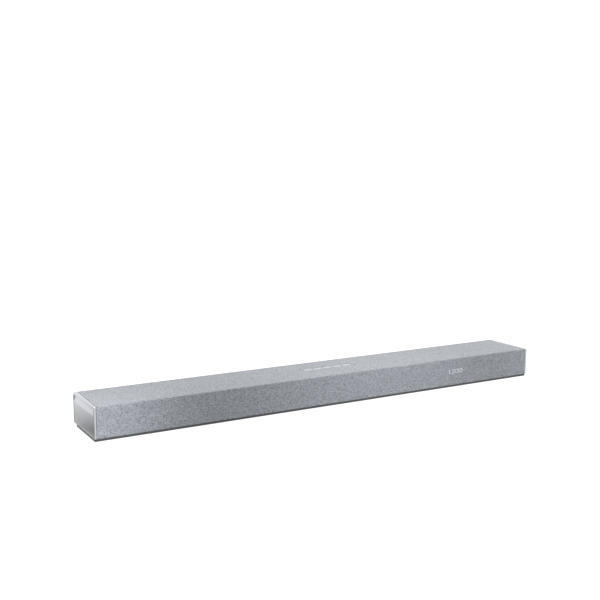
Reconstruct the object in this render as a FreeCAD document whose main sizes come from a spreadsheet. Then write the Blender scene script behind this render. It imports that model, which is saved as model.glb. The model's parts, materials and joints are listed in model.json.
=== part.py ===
import FreeCAD, Part
import os
import re
import Sketcher

# A fabric-wrapped television soundbar with metal end caps, a control strip on
# the top, a dot display behind the front fabric and loudspeakers, circuit
# boards and sockets inside. Millimetres. X runs along the bar, right as seen
# from the front; the front faces -Y; Z is up; the origin is under the centre.

os.makedirs("parts", exist_ok=True)
doc = FreeCAD.newDocument("soundbar")
TOLERANCE = 0.01
X_AXIS, Y_AXIS, Z_AXIS = 0, 1, 2

SIZES = {
    "bar_length": 1045, "bar_depth": 125, "bar_height": 65,
    "plinth_height": 4.4, "plinth_length": 1043, "plinth_front": 61.5, "plinth_back": 50, "plinth_corner": 3,
    "foot_height": 0.6, "foot_sink": 1.4, "foot_length": 42, "foot_width": 12,
    "foot_reach": 440, "foot_spread": 34, "foot_gap": 0.2,
    "fabric_thickness": 1, "front_radius": 2.5, "rear_radius": 3,
    "rear_lip": 8, "bottom_lip": 12.5, "frame_thickness": 2, "wall_thickness": 2.5,
    "fit_gap": 0.2, "cap_inset": 10.5, "cap_front_rim": 3, "cap_rear_rim": 8, "cap_seam": 0.4,
    "cap_edge_radius": 0.8, "cap_top_rim": 4.8, "cap_nose_rim": 4, "cap_tail_rim": 1,
    "cap_sill_rim": 1.2, "plate_recess": 4, "plate_proud": 0.5,
    "plate_gap": 0.25, "bevel_height": 12.5, "bevel_depth": 2.3, "groove_height": 0.6,
    "cap_face": 3, "cap_ring": 3.5, "cap_screw_spread": 40, "cap_screw_rise": 15,
    "screw_radius": 1.5, "screw_head_radius": 2.8, "screw_head_height": 1.6,
    "screw_clearance": 0.15, "thread_clearance": 0.02, "boss_radius": 4,
    "baffle_inset": 7.5, "chamber_floor": 8, "chamber_floor_reach": 18.5,
    "grille_slot_width": 9, "grille_slot_height": 40, "grille_slot_pitch": 14,
    "grille_slot_count": 71, "driver_height": 35,
    "woofer_reach": 215, "woofer_length": 96, "woofer_width": 46, "woofer_flange": 1.5,
    "bucket_length": 86, "bucket_width": 36, "bucket_wall": 1.5, "bucket_depth": 19,
    "cone_length": 79, "cone_width": 29, "cone_depth": 6.5, "cone_wall": 1, "cone_taper": 25,
    "roll_height": 2.2, "roll_outer": 90, "roll_overlap": 7,
    "coil_radius": 10.5, "coil_wall": 0.5, "coil_length": 20, "coil_gap": 0.5,
    "motor_radius": 17, "motor_depth": 18, "motor_gap_depth": 12,
    "height_reach": 455, "height_back": 5, "height_flange_radius": 36, "height_flange": 2,
    "height_opening": 31, "height_basket_radius": 30, "height_ledge": 28.5,
    "height_basket_depth": 17.5, "height_floor": 2, "height_motor_radius": 22,
    "height_motor_depth": 20, "height_cone_radius": 24.5, "height_cone_depth": 8.5,
    "height_roll_centre": 26.9, "height_roll_radius": 2.6,
    "tweeter_reach": 390, "tweeter_plate_radius": 16, "tweeter_plate": 2,
    "tweeter_can_radius": 13, "tweeter_can_depth": 15, "tweeter_mouth_radius": 10.6,
    "tweeter_mouth_depth": 8, "dome_radius": 9.6, "dome_sphere_radius": 24, "dome_wall": 0.5,
    "dome_coil_length": 4.5,
    "strip_centre": 10, "strip_back": 3, "strip_length": 137, "strip_width": 17,
    "strip_sink": 0.4, "key_pitch": 24, "key_length": 21, "key_width": 9.5, "key_gap": 0.35,
    "key_proud": 0.3, "key_thickness": 1.8, "stem_radius": 2, "stem_gap": 0.35,
    "collar_radius": 3.2, "collar_height": 0.9, "stem_below": 3, "key_travel": 0.6,
    "board_thickness": 1.6, "control_board_drop": 5.9, "control_board_length": 142,
    "control_board_width": 22, "control_boss_spread": 64, "control_boss_radius": 3,
    "switch_side": 6, "switch_height": 1.6, "switch_tip": 2, "switch_tip_radius": 1.7,
    "display_centre": 314, "display_height": 36, "display_length": 56, "display_rise": 16,
    "display_board_length": 92, "display_board_shift": 11, "display_board_rise": 26,
    "receiver_shift": 48, "receiver_radius": 2.5, "receiver_length": 7,
    "bay_centre": -60, "bay_length": 240, "bay_bottom": 12, "bay_top": 47, "bay_depth": 26,
    "mains_centre": 230, "mains_bay_length": 50, "socket_board_height": 20,
    "main_board_length": 240, "main_board_front": -12, "main_board_back": 33,
    "power_board_left": 95, "power_board_right": 198, "power_board_back": 45,
    "panel_length": 226, "panel_thickness": 1.2, "panel_bottom": 15, "panel_top": 44,
    "socket_depth": 13.5, "socket_wall": 0.5, "post_radius": 3.5, "board_inset": 6,
    "av_width": 15, "av_height": 5.8, "av_pitch": 30, "av_centre": -120,
    "optical_side": 9.8, "optical_centre": -50, "usb_width": 13.2, "usb_height": 5.9,
    "usb_centre": -15, "inlet_width": 22, "inlet_height": 15, "inlet_depth": 20,
    "inlet_mouth_radius": 5, "inlet_pin_radius": 1.2, "inlet_pin_spread": 4.3,
    "inlet_pin_length": 9, "inlet_mouth_depth": 12, "inlet_lift": 30,
    "post_reach_inner": 290, "post_reach_outer": 500, "post_back": 50, "front_screw_back": -46.5,
    "front_screw_reach": 150, "front_screw_far": 430, "insert_reach": 350, "insert_height": 32,
    "insert_radius": 4, "insert_bore": 2.1, "insert_length": 12, "insert_boss_radius": 8,
    "vent_width": 3, "vent_height": 24, "vent_pitch": 8, "vent_count": 10, "vent_start": -320,
    "vent_bottom": 18,
    "rib_thickness": 2, "rib_depth": 38,
    "chassis_screw_length": 9.3, "cap_screw_length": 8.8, "board_screw_length": 8.7,
    "control_screw_length": 7.7, "choke_from": 10, "choke_length": 34, "choke_front": 2,
    "choke_width": 26, "choke_lift": 3, "choke_height": 26, "capacitor_from": 58,
    "capacitor_front": 4, "capacitor_pitch": 20, "capacitor_radius": 8, "capacitor_height": 25,
    "sink_from": 20, "sink_wall": 4, "sink_front": 1, "sink_length": 31, "sink_height": 24,
    "fin_length": 8, "fin_pitch": 6, "fin_wall": 1, "radio_left": 20, "radio_length": 22,
    "radio_front": -8, "radio_width": 18, "radio_height": 2.4, "socket_back": 1,
}

sheet = doc.addObject("Spreadsheet::Sheet", "Sizes")
for row, (alias, value) in enumerate(SIZES.items(), start=1):
    sheet.set(f"A{row}", alias)
    sheet.set(f"B{row}", str(value))
    sheet.setAlias(f"B{row}", alias)
doc.recompute()


def bound(text):
    """The text with each sheet alias written as a reference to the sheet."""
    return re.sub(r"[a-z]\w+", lambda word: "Sizes." + word.group(0), str(text))


def number(text):
    """The present value of an expression of sheet aliases."""
    return float(sheet.evalExpression(bound(text)))


# ---------------------------------------------------------------- sketch tools
PLANE_ROLE = {"XY": "XY_Plane", "XZ": "XZ_Plane", "YZ": "YZ_Plane"}
PLANE_SIGN = {"XY": 1, "XZ": -1, "YZ": 1}
START_POINT, END_POINT, CENTRE_POINT = 1, 2, 3


def new_body(label):
    """A body that becomes one sub-part, or a cutter for one."""
    body = doc.addObject("PartDesign::Body", "body_" + label)
    body.Label = label
    return body


def new_sketch(body, plane, level):
    """A sketch parallel to an origin plane, at a level along the plane's axis."""
    sketch = body.newObject("Sketcher::SketchObject", "outline")
    origin = next(item for item in body.Origin.OriginFeatures if item.Role == PLANE_ROLE[plane])
    sketch.AttachmentSupport = [(origin, "")]
    sketch.MapMode = "FlatFace"
    sign = "-" if PLANE_SIGN[plane] < 0 else ""
    sketch.setExpression("AttachmentOffset.Base.z", bound(f"{sign}({level})"))
    return sketch


def pin_point(sketch, curve, point, across, up):
    """Fix one sketch point at bound distances from the sketch origin."""
    for kind, place in (("DistanceX", across), ("DistanceY", up)):
        index = sketch.addConstraint(
            Sketcher.Constraint(kind, -1, START_POINT, curve, point, number(place)))
        sketch.setExpression(f"Constraints[{index}]", bound(place))


def draw_polygon(sketch, points):
    """A closed outline through bound points."""
    corners = [FreeCAD.Vector(number(across), number(up), 0) for across, up in points]
    first = sketch.GeometryCount
    total = len(corners)
    for index, corner in enumerate(corners):
        sketch.addGeometry(Part.LineSegment(corner, corners[(index + 1) % total]), False)
    for index in range(total):
        follower = first + (index + 1) % total
        sketch.addConstraint(
            Sketcher.Constraint("Coincident", first + index, END_POINT, follower, START_POINT))
    for index, (across, up) in enumerate(points):
        pin_point(sketch, first + index, START_POINT, across, up)


def draw_rectangle(sketch, left, right, low, high):
    """A closed rectangle between bound limits."""
    draw_polygon(sketch, [(left, low), (right, low), (right, high), (left, high)])


def draw_circle(sketch, across, up, radius):
    """A circle with a bound centre and radius."""
    centre = FreeCAD.Vector(number(across), number(up), 0)
    upright = FreeCAD.Vector(0, 0, 1)
    curve = sketch.addGeometry(Part.Circle(centre, upright, number(radius)), False)
    index = sketch.addConstraint(Sketcher.Constraint("Radius", curve, number(radius)))
    sketch.setExpression(f"Constraints[{index}]", bound(radius))
    pin_point(sketch, curve, CENTRE_POINT, across, up)


def draw_capsule(sketch, across, up, length, width):
    """A capsule outline: two straight sides joined by two half circles."""
    radius = number(width) / 2
    half = number(length) / 2 - radius
    middle = FreeCAD.Vector(number(across), number(up), 0)
    right = middle + FreeCAD.Vector(half, 0, 0)
    left = middle - FreeCAD.Vector(half, 0, 0)
    rise = FreeCAD.Vector(0, radius, 0)
    upright = FreeCAD.Vector(0, 0, 1)
    quarter = 1.5707963267948966
    right_arc = Part.ArcOfCircle(Part.Circle(right, upright, radius), -quarter, quarter)
    left_arc = Part.ArcOfCircle(Part.Circle(left, upright, radius), quarter, 3 * quarter)
    bottom = sketch.addGeometry(Part.LineSegment(left - rise, right - rise), False)
    east = sketch.addGeometry(right_arc, False)
    top = sketch.addGeometry(Part.LineSegment(right + rise, left + rise), False)
    west = sketch.addGeometry(left_arc, False)
    for before, after in ((bottom, east), (east, top), (top, west), (west, bottom)):
        sketch.addConstraint(
            Sketcher.Constraint("Tangent", before, END_POINT, after, START_POINT))
    sketch.addConstraint(Sketcher.Constraint("Horizontal", bottom))
    index = sketch.addConstraint(Sketcher.Constraint("Radius", east, radius))
    sketch.setExpression(f"Constraints[{index}]", bound(f"({width})/2"))
    spread = f"(({length})-({width}))/2"
    pin_point(sketch, east, CENTRE_POINT, f"({across})+{spread}", up)
    pin_point(sketch, west, CENTRE_POINT, f"({across})-{spread}", up)


def raise_solid(body, sketch, plane, depth, towards, taper=None):
    """Pad a sketch by a bound depth, towards +1 or -1 along the plane's axis."""
    pad = body.newObject("PartDesign::Pad", "pad")
    pad.Profile = sketch
    pad.setExpression("Length", bound(depth))
    pad.Reversed = towards != PLANE_SIGN[plane]
    if taper:
        pad.setExpression("TaperAngle", bound(f"-({taper})"))
    doc.recompute()
    return pad


def cut_solid(body, sketch, plane, depth, towards, taper=None):
    """Pocket a sketch by a bound depth, towards +1 or -1 along the plane's axis."""
    pocket = body.newObject("PartDesign::Pocket", "pocket")
    pocket.Profile = sketch
    pocket.setExpression("Length", bound(depth))
    pocket.Reversed = towards == PLANE_SIGN[plane]
    if taper:
        pocket.setExpression("TaperAngle", bound(f"-({taper})"))
    doc.recompute()
    return pocket


def edges_at(feature, axis, places):
    """Names of a feature's straight edges that run along an axis through given places."""
    targets = [[number(part) for part in place] for place in places]
    names = []
    for index, edge in enumerate(feature.Shape.Edges, start=1):
        ends = [vertex.Point for vertex in edge.Vertexes]
        if len(ends) != 2:
            continue
        run = ends[1] - ends[0]
        if run.Length - abs(run[axis]) > TOLERANCE:
            continue
        spot = [ends[0][other] for other in (X_AXIS, Y_AXIS, Z_AXIS) if other != axis]
        for target in targets:
            if max(abs(a - b) for a, b in zip(spot, target)) < TOLERANCE:
                names.append(f"Edge{index}")
    return names


def round_edges(body, axis, places, radius):
    """Fillet the body's straight edges that pass through the given places."""
    feature = body.Tip
    names = edges_at(feature, axis, places)
    fillet = body.newObject("PartDesign::Fillet", "fillet")
    fillet.Base = (feature, names)
    fillet.setExpression("Radius", bound(radius))
    doc.recompute()
    return fillet


# ------------------------------------------------------------- primitive tools
AXIS_TURN = {
    "X": FreeCAD.Rotation(FreeCAD.Vector(0, 1, 0), 90),
    "Y": FreeCAD.Rotation(FreeCAD.Vector(1, 0, 0), -90),
    "Z": FreeCAD.Rotation(),
    "-X": FreeCAD.Rotation(FreeCAD.Vector(0, 1, 0), -90),
    "-Y": FreeCAD.Rotation(FreeCAD.Vector(1, 0, 0), 90),
    "-Z": FreeCAD.Rotation(FreeCAD.Vector(1, 0, 0), 180),
}


def place(item, centre, axis="Z"):
    """Stand an item at a bound place, its own axis along the named axis."""
    item.Placement = FreeCAD.Placement(FreeCAD.Vector(), AXIS_TURN[axis])
    for letter, where in zip("xyz", centre):
        item.setExpression(f"Placement.Base.{letter}", bound(where))


def block(x_from, x_to, y_from, y_to, z_from, z_to):
    """A rectangular block between bound limits."""
    item = doc.addObject("Part::Box", "block")
    item.setExpression("Length", bound(f"({x_to})-({x_from})"))
    item.setExpression("Width", bound(f"({y_to})-({y_from})"))
    item.setExpression("Height", bound(f"({z_to})-({z_from})"))
    place(item, (x_from, y_from, z_from))
    return item


def rod(axis, centre, radius, length):
    """A round bar that starts at a bound centre and runs along an axis."""
    item = doc.addObject("Part::Cylinder", "rod")
    item.setExpression("Radius", bound(radius))
    item.setExpression("Height", bound(length))
    place(item, centre, axis)
    return item


def cone(axis, centre, radius_from, radius_to, length):
    """A truncated cone along an axis."""
    item = doc.addObject("Part::Cone", "cone")
    item.setExpression("Radius1", bound(radius_from))
    item.setExpression("Radius2", bound(radius_to))
    item.setExpression("Height", bound(length))
    place(item, centre, axis)
    return item


def joined(*items):
    """One solid made of several touching items."""
    fusion = doc.addObject("Part::MultiFuse", "joined")
    fusion.Shapes = list(items)
    return fusion


def without(base, *tools):
    """The base item with each tool cut away."""
    tool = tools[0] if len(tools) == 1 else joined(*tools)
    cut = doc.addObject("Part::Cut", "cut")
    cut.Base = base
    cut.Tool = tool
    return cut


def shared(first, second):
    """The space that two items share."""
    common = doc.addObject("Part::Common", "shared")
    common.Base = first
    common.Tool = second
    return common


def group(*items):
    """Several separate solids kept as one sub-part, such as a set of screws."""
    compound = doc.addObject("Part::Compound", "group")
    compound.Links = list(items)
    return compound


NODES = {}


def finish(label, item):
    """Name a finished sub-part, so that it is checked and exported."""
    item.Label = label
    NODES[label] = item
    return item


# ------------------------------------------------------------ shared positions
END = "bar_length/2"
FACE = "bar_depth/2"
SOLE = "(foot_height+plinth_height)"
FRAME_TOP = "(bar_height-fabric_thickness)"
SHELL_TOP = "(bar_height-fabric_thickness-frame_thickness)"
CEILING = "(bar_height-fabric_thickness-frame_thickness-wall_thickness)"
SHELL_END = "(bar_length/2-cap_inset)"
FRAME_FACE = "(bar_depth/2-fabric_thickness)"
SHELL_FACE = "(bar_depth/2-fabric_thickness-frame_thickness)"
BAFFLE = "(bar_depth/2-baffle_inset)"
BAFFLE_BACK = "(bar_depth/2-baffle_inset-wall_thickness)"
SIDES = {"left": -1, "right": 1}


def wrap_points(inset, thickness, bottom_reach, rear_drop):
    """A C-shaped section: bottom lip, front, top and rear lip of one sheet."""
    deep = f"({inset}+{thickness})"
    return [
        (f"-{FACE}+{bottom_reach}", f"{SOLE}+{inset}"),
        (f"-{FACE}+{inset}", f"{SOLE}+{inset}"),
        (f"-{FACE}+{inset}", f"bar_height-{inset}"),
        (f"{FACE}-{inset}", f"bar_height-{inset}"),
        (f"{FACE}-{inset}", f"bar_height-{rear_drop}"),
        (f"{FACE}-{deep}", f"bar_height-{rear_drop}"),
        (f"{FACE}-{deep}", f"bar_height-{deep}"),
        (f"-{FACE}+{deep}", f"bar_height-{deep}"),
        (f"-{FACE}+{deep}", f"{SOLE}+{deep}"),
        (f"-{FACE}+{bottom_reach}", f"{SOLE}+{deep}"),
    ]


def wrapped_sheet(label, inset, thickness, reach, bottom_reach, rear_drop, bends):
    """A sheet round the front, top and rear edge; bends lists the depths that are rounded."""
    body = new_body(label)
    sketch = new_sketch(body, "YZ", f"-({reach})")
    draw_polygon(sketch, wrap_points(inset, thickness, bottom_reach, rear_drop))
    raise_solid(body, sketch, "YZ", f"2*({reach})", 1)
    for depth in bends:
        front = [(f"-{FACE}+{depth}", f"{SOLE}+{depth}"), (f"-{FACE}+{depth}", f"bar_height-{depth}")]
        round_edges(body, X_AXIS, front, f"front_radius-{depth}")
        rear = [(f"{FACE}-{depth}", f"bar_height-{depth}")]
        round_edges(body, X_AXIS, rear, f"rear_radius-{depth}")
    return body


def cut_strip(body, level, depth, gap):
    """Cut the capsule opening for the control strip through a top sheet."""
    sketch = new_sketch(body, "XY", level)
    draw_capsule(sketch, "strip_centre", "strip_back", f"strip_length+2*{gap}", f"strip_width+2*{gap}")
    cut_solid(body, sketch, "XY", depth, -1)


# ------------------------------------------------------------------- enclosure
fabric = wrapped_sheet("fabric_wrap", "0", "fabric_thickness", f"{END}-cap_front_rim-cap_seam",
                       "bottom_lip", "rear_lip", ["0", "fabric_thickness"])
for side in SIDES.values():
    sketch = new_sketch(fabric, "XY", "bar_height")
    front_edge = f"{side}*({END}-cap_front_rim-cap_seam)"
    rear_edge = f"{side}*({END}-cap_rear_rim-cap_seam)"
    draw_polygon(sketch, [(front_edge, f"-{FACE}"), (f"{side}*{END}", f"-{FACE}"),
                          (f"{side}*{END}", FACE), (rear_edge, FACE)])
    cut_solid(fabric, sketch, "XY", "bar_height", -1)
cut_strip(fabric, "bar_height", "fabric_thickness", "fit_gap")
finish("fabric_wrap", fabric)

frame = wrapped_sheet("grille_frame", "fabric_thickness", "frame_thickness", SHELL_END,
                      "bottom_lip-fabric_thickness", "(rear_lip-fabric_thickness)",
                      ["fabric_thickness"])
cut_strip(frame, FRAME_TOP, "frame_thickness", "fit_gap")
sketch = new_sketch(frame, "XY", FRAME_TOP)
for side in SIDES.values():
    draw_circle(sketch, f"{side}*height_reach", "height_back", "height_opening")
cut_solid(frame, sketch, "XY", "frame_thickness", -1)
sketch = new_sketch(frame, "XZ", f"-{FRAME_FACE}")
draw_rectangle(sketch, "display_centre-display_length/2-fit_gap", "display_centre+display_length/2+fit_gap",
               "display_height-display_rise/2-fit_gap", "display_height+display_rise/2+fit_gap")
cut_solid(frame, sketch, "XZ", "frame_thickness", 1)
sketch = new_sketch(frame, "XZ", f"-{FRAME_FACE}")
draw_rectangle(sketch, "-grille_slot_pitch*(grille_slot_count-1)/2-grille_slot_width/2",
               "-grille_slot_pitch*(grille_slot_count-1)/2+grille_slot_width/2",
               "driver_height-grille_slot_height/2", "driver_height+grille_slot_height/2")
slot = cut_solid(frame, sketch, "XZ", "frame_thickness", 1)
pattern = frame.newObject("PartDesign::LinearPattern", "slots")
pattern.Originals = [slot]
pattern.Direction = (sketch, ["H_Axis"])
pattern.setExpression("Length", bound("grille_slot_pitch*(grille_slot_count-1)"))
pattern.setExpression("Occurrences", bound("grille_slot_count"))
frame.Tip = pattern
finish("grille_frame", frame)

shell = new_body("cabinet_shell")
sketch = new_sketch(shell, "YZ", f"-{SHELL_END}")
draw_polygon(sketch, [
    (f"{SHELL_FACE}-fit_gap", SHELL_TOP), (f"{SHELL_FACE}-fit_gap", CEILING),
    (f"-{BAFFLE_BACK}", CEILING), (f"-{BAFFLE_BACK}", "chamber_floor+wall_thickness"),
    (f"-{FACE}+chamber_floor_reach", "chamber_floor+wall_thickness"),
    (f"-{FACE}+chamber_floor_reach", "chamber_floor"), (f"-{SHELL_FACE}+fit_gap", "chamber_floor"),
    (f"-{SHELL_FACE}+fit_gap", "chamber_floor+wall_thickness"),
    (f"-{BAFFLE}", "chamber_floor+wall_thickness"), (f"-{BAFFLE}", CEILING),
    (f"-{SHELL_FACE}+fit_gap", CEILING), (f"-{SHELL_FACE}+fit_gap", SHELL_TOP)])
raise_solid(shell, sketch, "YZ", f"2*{SHELL_END}", 1)
SHELL_REAR = f"{SHELL_FACE}-wall_thickness-fit_gap*2"
WALLS = [(f"-{SHELL_END}", "wall_thickness", f"{SHELL_REAR}"),
         (f"{SHELL_END}-wall_thickness", "wall_thickness", f"{SHELL_REAR}")]
for reach in ("-woofer_reach-woofer_length/2-boss_radius", "-woofer_length/2-boss_radius",
              "woofer_length/2+boss_radius", "woofer_reach+woofer_length/2+boss_radius"):
    WALLS.append((reach, "rib_thickness", f"-{BAFFLE_BACK}+rib_depth"))
for start, thickness, rear in WALLS:
    sketch = new_sketch(shell, "YZ", start)
    draw_rectangle(sketch, f"-{BAFFLE_BACK}-wall_thickness/2", rear,
                   "chamber_floor", f"{CEILING}+wall_thickness/2")
    raise_solid(shell, sketch, "YZ", thickness, 1)
sketch = new_sketch(shell, "XZ", f"-{BAFFLE}")
for centre in ("-woofer_reach", "0", "woofer_reach"):
    draw_capsule(sketch, centre, "driver_height", "bucket_length+fit_gap", "bucket_width+fit_gap")
for side in SIDES.values():
    draw_circle(sketch, f"{side}*tweeter_reach", "driver_height", "tweeter_can_radius+fit_gap")
draw_rectangle(sketch, "display_centre-display_length/2-fit_gap", "display_centre+display_length/2+fit_gap",
               "display_height-display_rise/2-fit_gap", "display_height+display_rise/2+fit_gap")
draw_circle(sketch, "display_centre+receiver_shift", "display_height", "receiver_radius+fit_gap")
cut_solid(shell, sketch, "XZ", "wall_thickness", 1)
sketch = new_sketch(shell, "XY", SHELL_TOP)
for side in SIDES.values():
    draw_circle(sketch, f"{side}*height_reach", "height_back", "height_opening")
for step in range(-2, 3):
    draw_circle(sketch, f"strip_centre+{step}*key_pitch", "strip_back", "stem_radius+stem_gap")
cut_solid(shell, sketch, "XY", "wall_thickness", -1)
sketch = new_sketch(shell, "XY", f"{CEILING}-control_board_drop")
for side in SIDES.values():
    draw_circle(sketch, f"strip_centre+{side}*control_boss_spread", "strip_back", "control_boss_radius")
raise_solid(shell, sketch, "XY", "control_board_drop+wall_thickness/2", 1)
sketch = new_sketch(shell, "XY", "chamber_floor")
for side in SIDES.values():
    for reach in ("post_reach_inner", "post_reach_outer"):
        draw_circle(sketch, f"{side}*{reach}", "post_back", "boss_radius")
raise_solid(shell, sketch, "XY", f"{CEILING}-chamber_floor+wall_thickness/2", 1)
sketch = new_sketch(shell, "XY", "chamber_floor")
for side in SIDES.values():
    for reach in ("post_reach_inner", "post_reach_outer"):
        draw_circle(sketch, f"{side}*{reach}", "post_back", "screw_radius+thread_clearance")
    for reach in ("front_screw_reach", "front_screw_far"):
        draw_circle(sketch, f"{side}*{reach}", "front_screw_back", "screw_radius+thread_clearance")
cut_solid(shell, sketch, "XY", "wall_thickness", 1)
sketch = new_sketch(shell, "XY", f"{CEILING}-control_board_drop")
for side in SIDES.values():
    draw_circle(sketch, f"strip_centre+{side}*control_boss_spread", "strip_back",
                "screw_radius+thread_clearance")
cut_solid(shell, sketch, "XY", "control_board_drop-wall_thickness/2", 1)
for start in (f"-{SHELL_END}", f"{SHELL_END}-wall_thickness"):
    sketch = new_sketch(shell, "YZ", start)
    for side in SIDES.values():
        for rise in SIDES.values():
            draw_circle(sketch, f"{side}*cap_screw_spread", f"driver_height+{rise}*cap_screw_rise",
                        "screw_radius+thread_clearance")
    cut_solid(shell, sketch, "YZ", "wall_thickness", 1)
finish("cabinet_shell", shell)

# The bottom and back of the bar in one moulding, with two recessed socket bays.
cover = new_body("rear_cover")
REAR_SKIN = "(bar_depth/2-fabric_thickness/2)"
REAR_INNER = f"({REAR_SKIN}-wall_thickness)"
SHELF = "(bar_height-rear_lip-fit_gap)"
sketch = new_sketch(cover, "YZ", f"-{SHELL_END}")
draw_polygon(sketch, [
    (f"-{FACE}+bottom_lip+fit_gap", SOLE), (REAR_SKIN, SOLE), (REAR_SKIN, SHELF),
    (f"{SHELL_FACE}-fit_gap", SHELF), (f"{SHELL_FACE}-fit_gap", f"{CEILING}-fit_gap"),
    (f"{SHELL_FACE}-fit_gap-wall_thickness", f"{CEILING}-fit_gap"),
    (f"{SHELL_FACE}-fit_gap-wall_thickness", f"{SHELF}-wall_thickness"),
    (REAR_INNER, f"{SHELF}-wall_thickness"), (REAR_INNER, f"{SOLE}+wall_thickness"),
    (f"-{FACE}+bottom_lip+fit_gap", f"{SOLE}+wall_thickness")])
raise_solid(cover, sketch, "YZ", f"2*{SHELL_END}", 1)
BAYS = [("bay_centre", "bay_length"), ("mains_centre", "mains_bay_length")]
sketch = new_sketch(cover, "XZ", REAR_SKIN)
for centre, length in BAYS:
    draw_rectangle(sketch, f"{centre}-{length}/2-wall_thickness", f"{centre}+{length}/2+wall_thickness",
                   "bay_bottom-wall_thickness", "bay_top+wall_thickness")
raise_solid(cover, sketch, "XZ", "bay_depth+wall_thickness", -1)
sketch = new_sketch(cover, "XZ", REAR_SKIN)
for centre, length in BAYS:
    draw_rectangle(sketch, f"{centre}-{length}/2", f"{centre}+{length}/2", "bay_bottom", "bay_top")
cut_solid(cover, sketch, "XZ", "bay_depth", -1)
BAY_FLOOR = f"({REAR_SKIN}-bay_depth)"
SOCKET_BASE = "(socket_board_height+board_thickness)"
sketch = new_sketch(cover, "XZ", BAY_FLOOR)
draw_rectangle(sketch, "av_centre-av_width", "usb_centre+usb_width",
               f"{SOCKET_BASE}-fit_gap", f"{SOCKET_BASE}+optical_side+fit_gap")
draw_rectangle(sketch, "mains_centre-inlet_width/2-fit_gap", "mains_centre+inlet_width/2+fit_gap",
               "inlet_lift-inlet_height/2-fit_gap", "inlet_lift+inlet_height/2+fit_gap")
cut_solid(cover, sketch, "XZ", "wall_thickness", -1)
sketch = new_sketch(cover, "XZ", REAR_SKIN)
for side in SIDES.values():
    draw_circle(sketch, f"{side}*insert_reach", "insert_height", "insert_boss_radius")
raise_solid(cover, sketch, "XZ", "insert_length+wall_thickness", -1)
sketch = new_sketch(cover, "XZ", REAR_SKIN)
for side in SIDES.values():
    draw_circle(sketch, f"{side}*insert_reach", "insert_height", "insert_radius")
cut_solid(cover, sketch, "XZ", "insert_length", -1)
MAIN_POSTS = []
for across in ("bay_centre-main_board_length/2+board_inset", "bay_centre+main_board_length/2-board_inset"):
    for back in ("main_board_front+board_inset", "main_board_back-board_inset"):
        MAIN_POSTS.append((across, back))
POWER_POSTS = []
for across in ("power_board_left+board_inset", "power_board_right-board_inset"):
    for back in ("main_board_front+board_inset", "power_board_back-board_inset"):
        POWER_POSTS.append((across, back))
sketch = new_sketch(cover, "XY", f"{SOLE}+wall_thickness/2")
for across, back in MAIN_POSTS + POWER_POSTS:
    draw_circle(sketch, across, back, "post_radius")
raise_solid(cover, sketch, "XY", f"socket_board_height-{SOLE}-wall_thickness/2", 1)
sketch = new_sketch(cover, "XY", "socket_board_height")
for across, back in MAIN_POSTS + POWER_POSTS:
    draw_circle(sketch, across, back, "screw_radius+thread_clearance")
cut_solid(cover, sketch, "XY", "board_inset", -1)
FRONT_SCREWS = [(f"{side}*{reach}", "front_screw_back")
                for side in SIDES.values() for reach in ("front_screw_reach", "front_screw_far")]
REAR_SCREWS = [(f"{side}*{reach}", "post_back")
               for side in SIDES.values() for reach in ("post_reach_inner", "post_reach_outer")]
sketch = new_sketch(cover, "XY", SOLE)
for across, back in FRONT_SCREWS + REAR_SCREWS:
    draw_circle(sketch, across, back, "screw_radius+screw_clearance")
cut_solid(cover, sketch, "XY", "wall_thickness", 1)
sketch = new_sketch(cover, "XZ", REAR_SKIN)
draw_rectangle(sketch, "vent_start", "vent_start+vent_width", "vent_bottom", "vent_bottom+vent_height")
vent = cut_solid(cover, sketch, "XZ", "wall_thickness", -1)
pattern = cover.newObject("PartDesign::LinearPattern", "vents")
pattern.Originals = [vent]
pattern.Direction = (sketch, ["H_Axis"])
pattern.setExpression("Length", bound("vent_pitch*(vent_count-1)"))
pattern.setExpression("Occurrences", bound("vent_count"))
cover.Tip = pattern
finish("rear_cover", cover)

plinth = new_body("base_plinth")
sketch = new_sketch(plinth, "XY", "foot_height")
draw_rectangle(sketch, "-plinth_length/2", "plinth_length/2", "-plinth_front", "plinth_back")
raise_solid(plinth, sketch, "XY", "plinth_height", 1)
corners = [(f"{side}*plinth_length/2", edge)
           for side in SIDES.values() for edge in ("-plinth_front", "plinth_back")]
round_edges(plinth, Z_AXIS, corners, "plinth_corner")
FEET = [(f"{side}*foot_reach", f"{turn}*foot_spread")
        for side in SIDES.values() for turn in SIDES.values()]
sketch = new_sketch(plinth, "XY", "foot_height")
for across, back in FEET:
    draw_capsule(sketch, across, back, "foot_length+2*foot_gap", "foot_width+2*foot_gap")
cut_solid(plinth, sketch, "XY", "foot_sink", 1)
for radius, depth in (("screw_head_radius+fit_gap", "screw_head_height+2*fit_gap"),
                      ("screw_radius+screw_clearance", "plinth_height")):
    sketch = new_sketch(plinth, "XY", "foot_height")
    for across, back in FRONT_SCREWS + REAR_SCREWS:
        draw_circle(sketch, across, back, radius)
    cut_solid(plinth, sketch, "XY", depth, 1)
finish("base_plinth", plinth)

feet = []
for across, back in FEET:
    foot = new_body("foot")
    sketch = new_sketch(foot, "XY", "0")
    draw_capsule(sketch, across, back, "foot_length", "foot_width")
    raise_solid(foot, sketch, "XY", "foot_height+foot_sink", 1)
    feet.append(foot)
finish("rubber_feet", group(*feet))


def screw(axis, centre, length):
    """A pan-head screw: head and plain round shank start together at the centre."""
    head = rod(axis, centre, "screw_head_radius", "screw_head_height")
    return joined(head, rod(axis, centre, "screw_radius", length))


finish("chassis_screws", group(*[
    screw("Z", (across, back, "foot_height+2*fit_gap"), "chassis_screw_length")
    for across, back in FRONT_SCREWS + REAR_SCREWS]))

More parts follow.
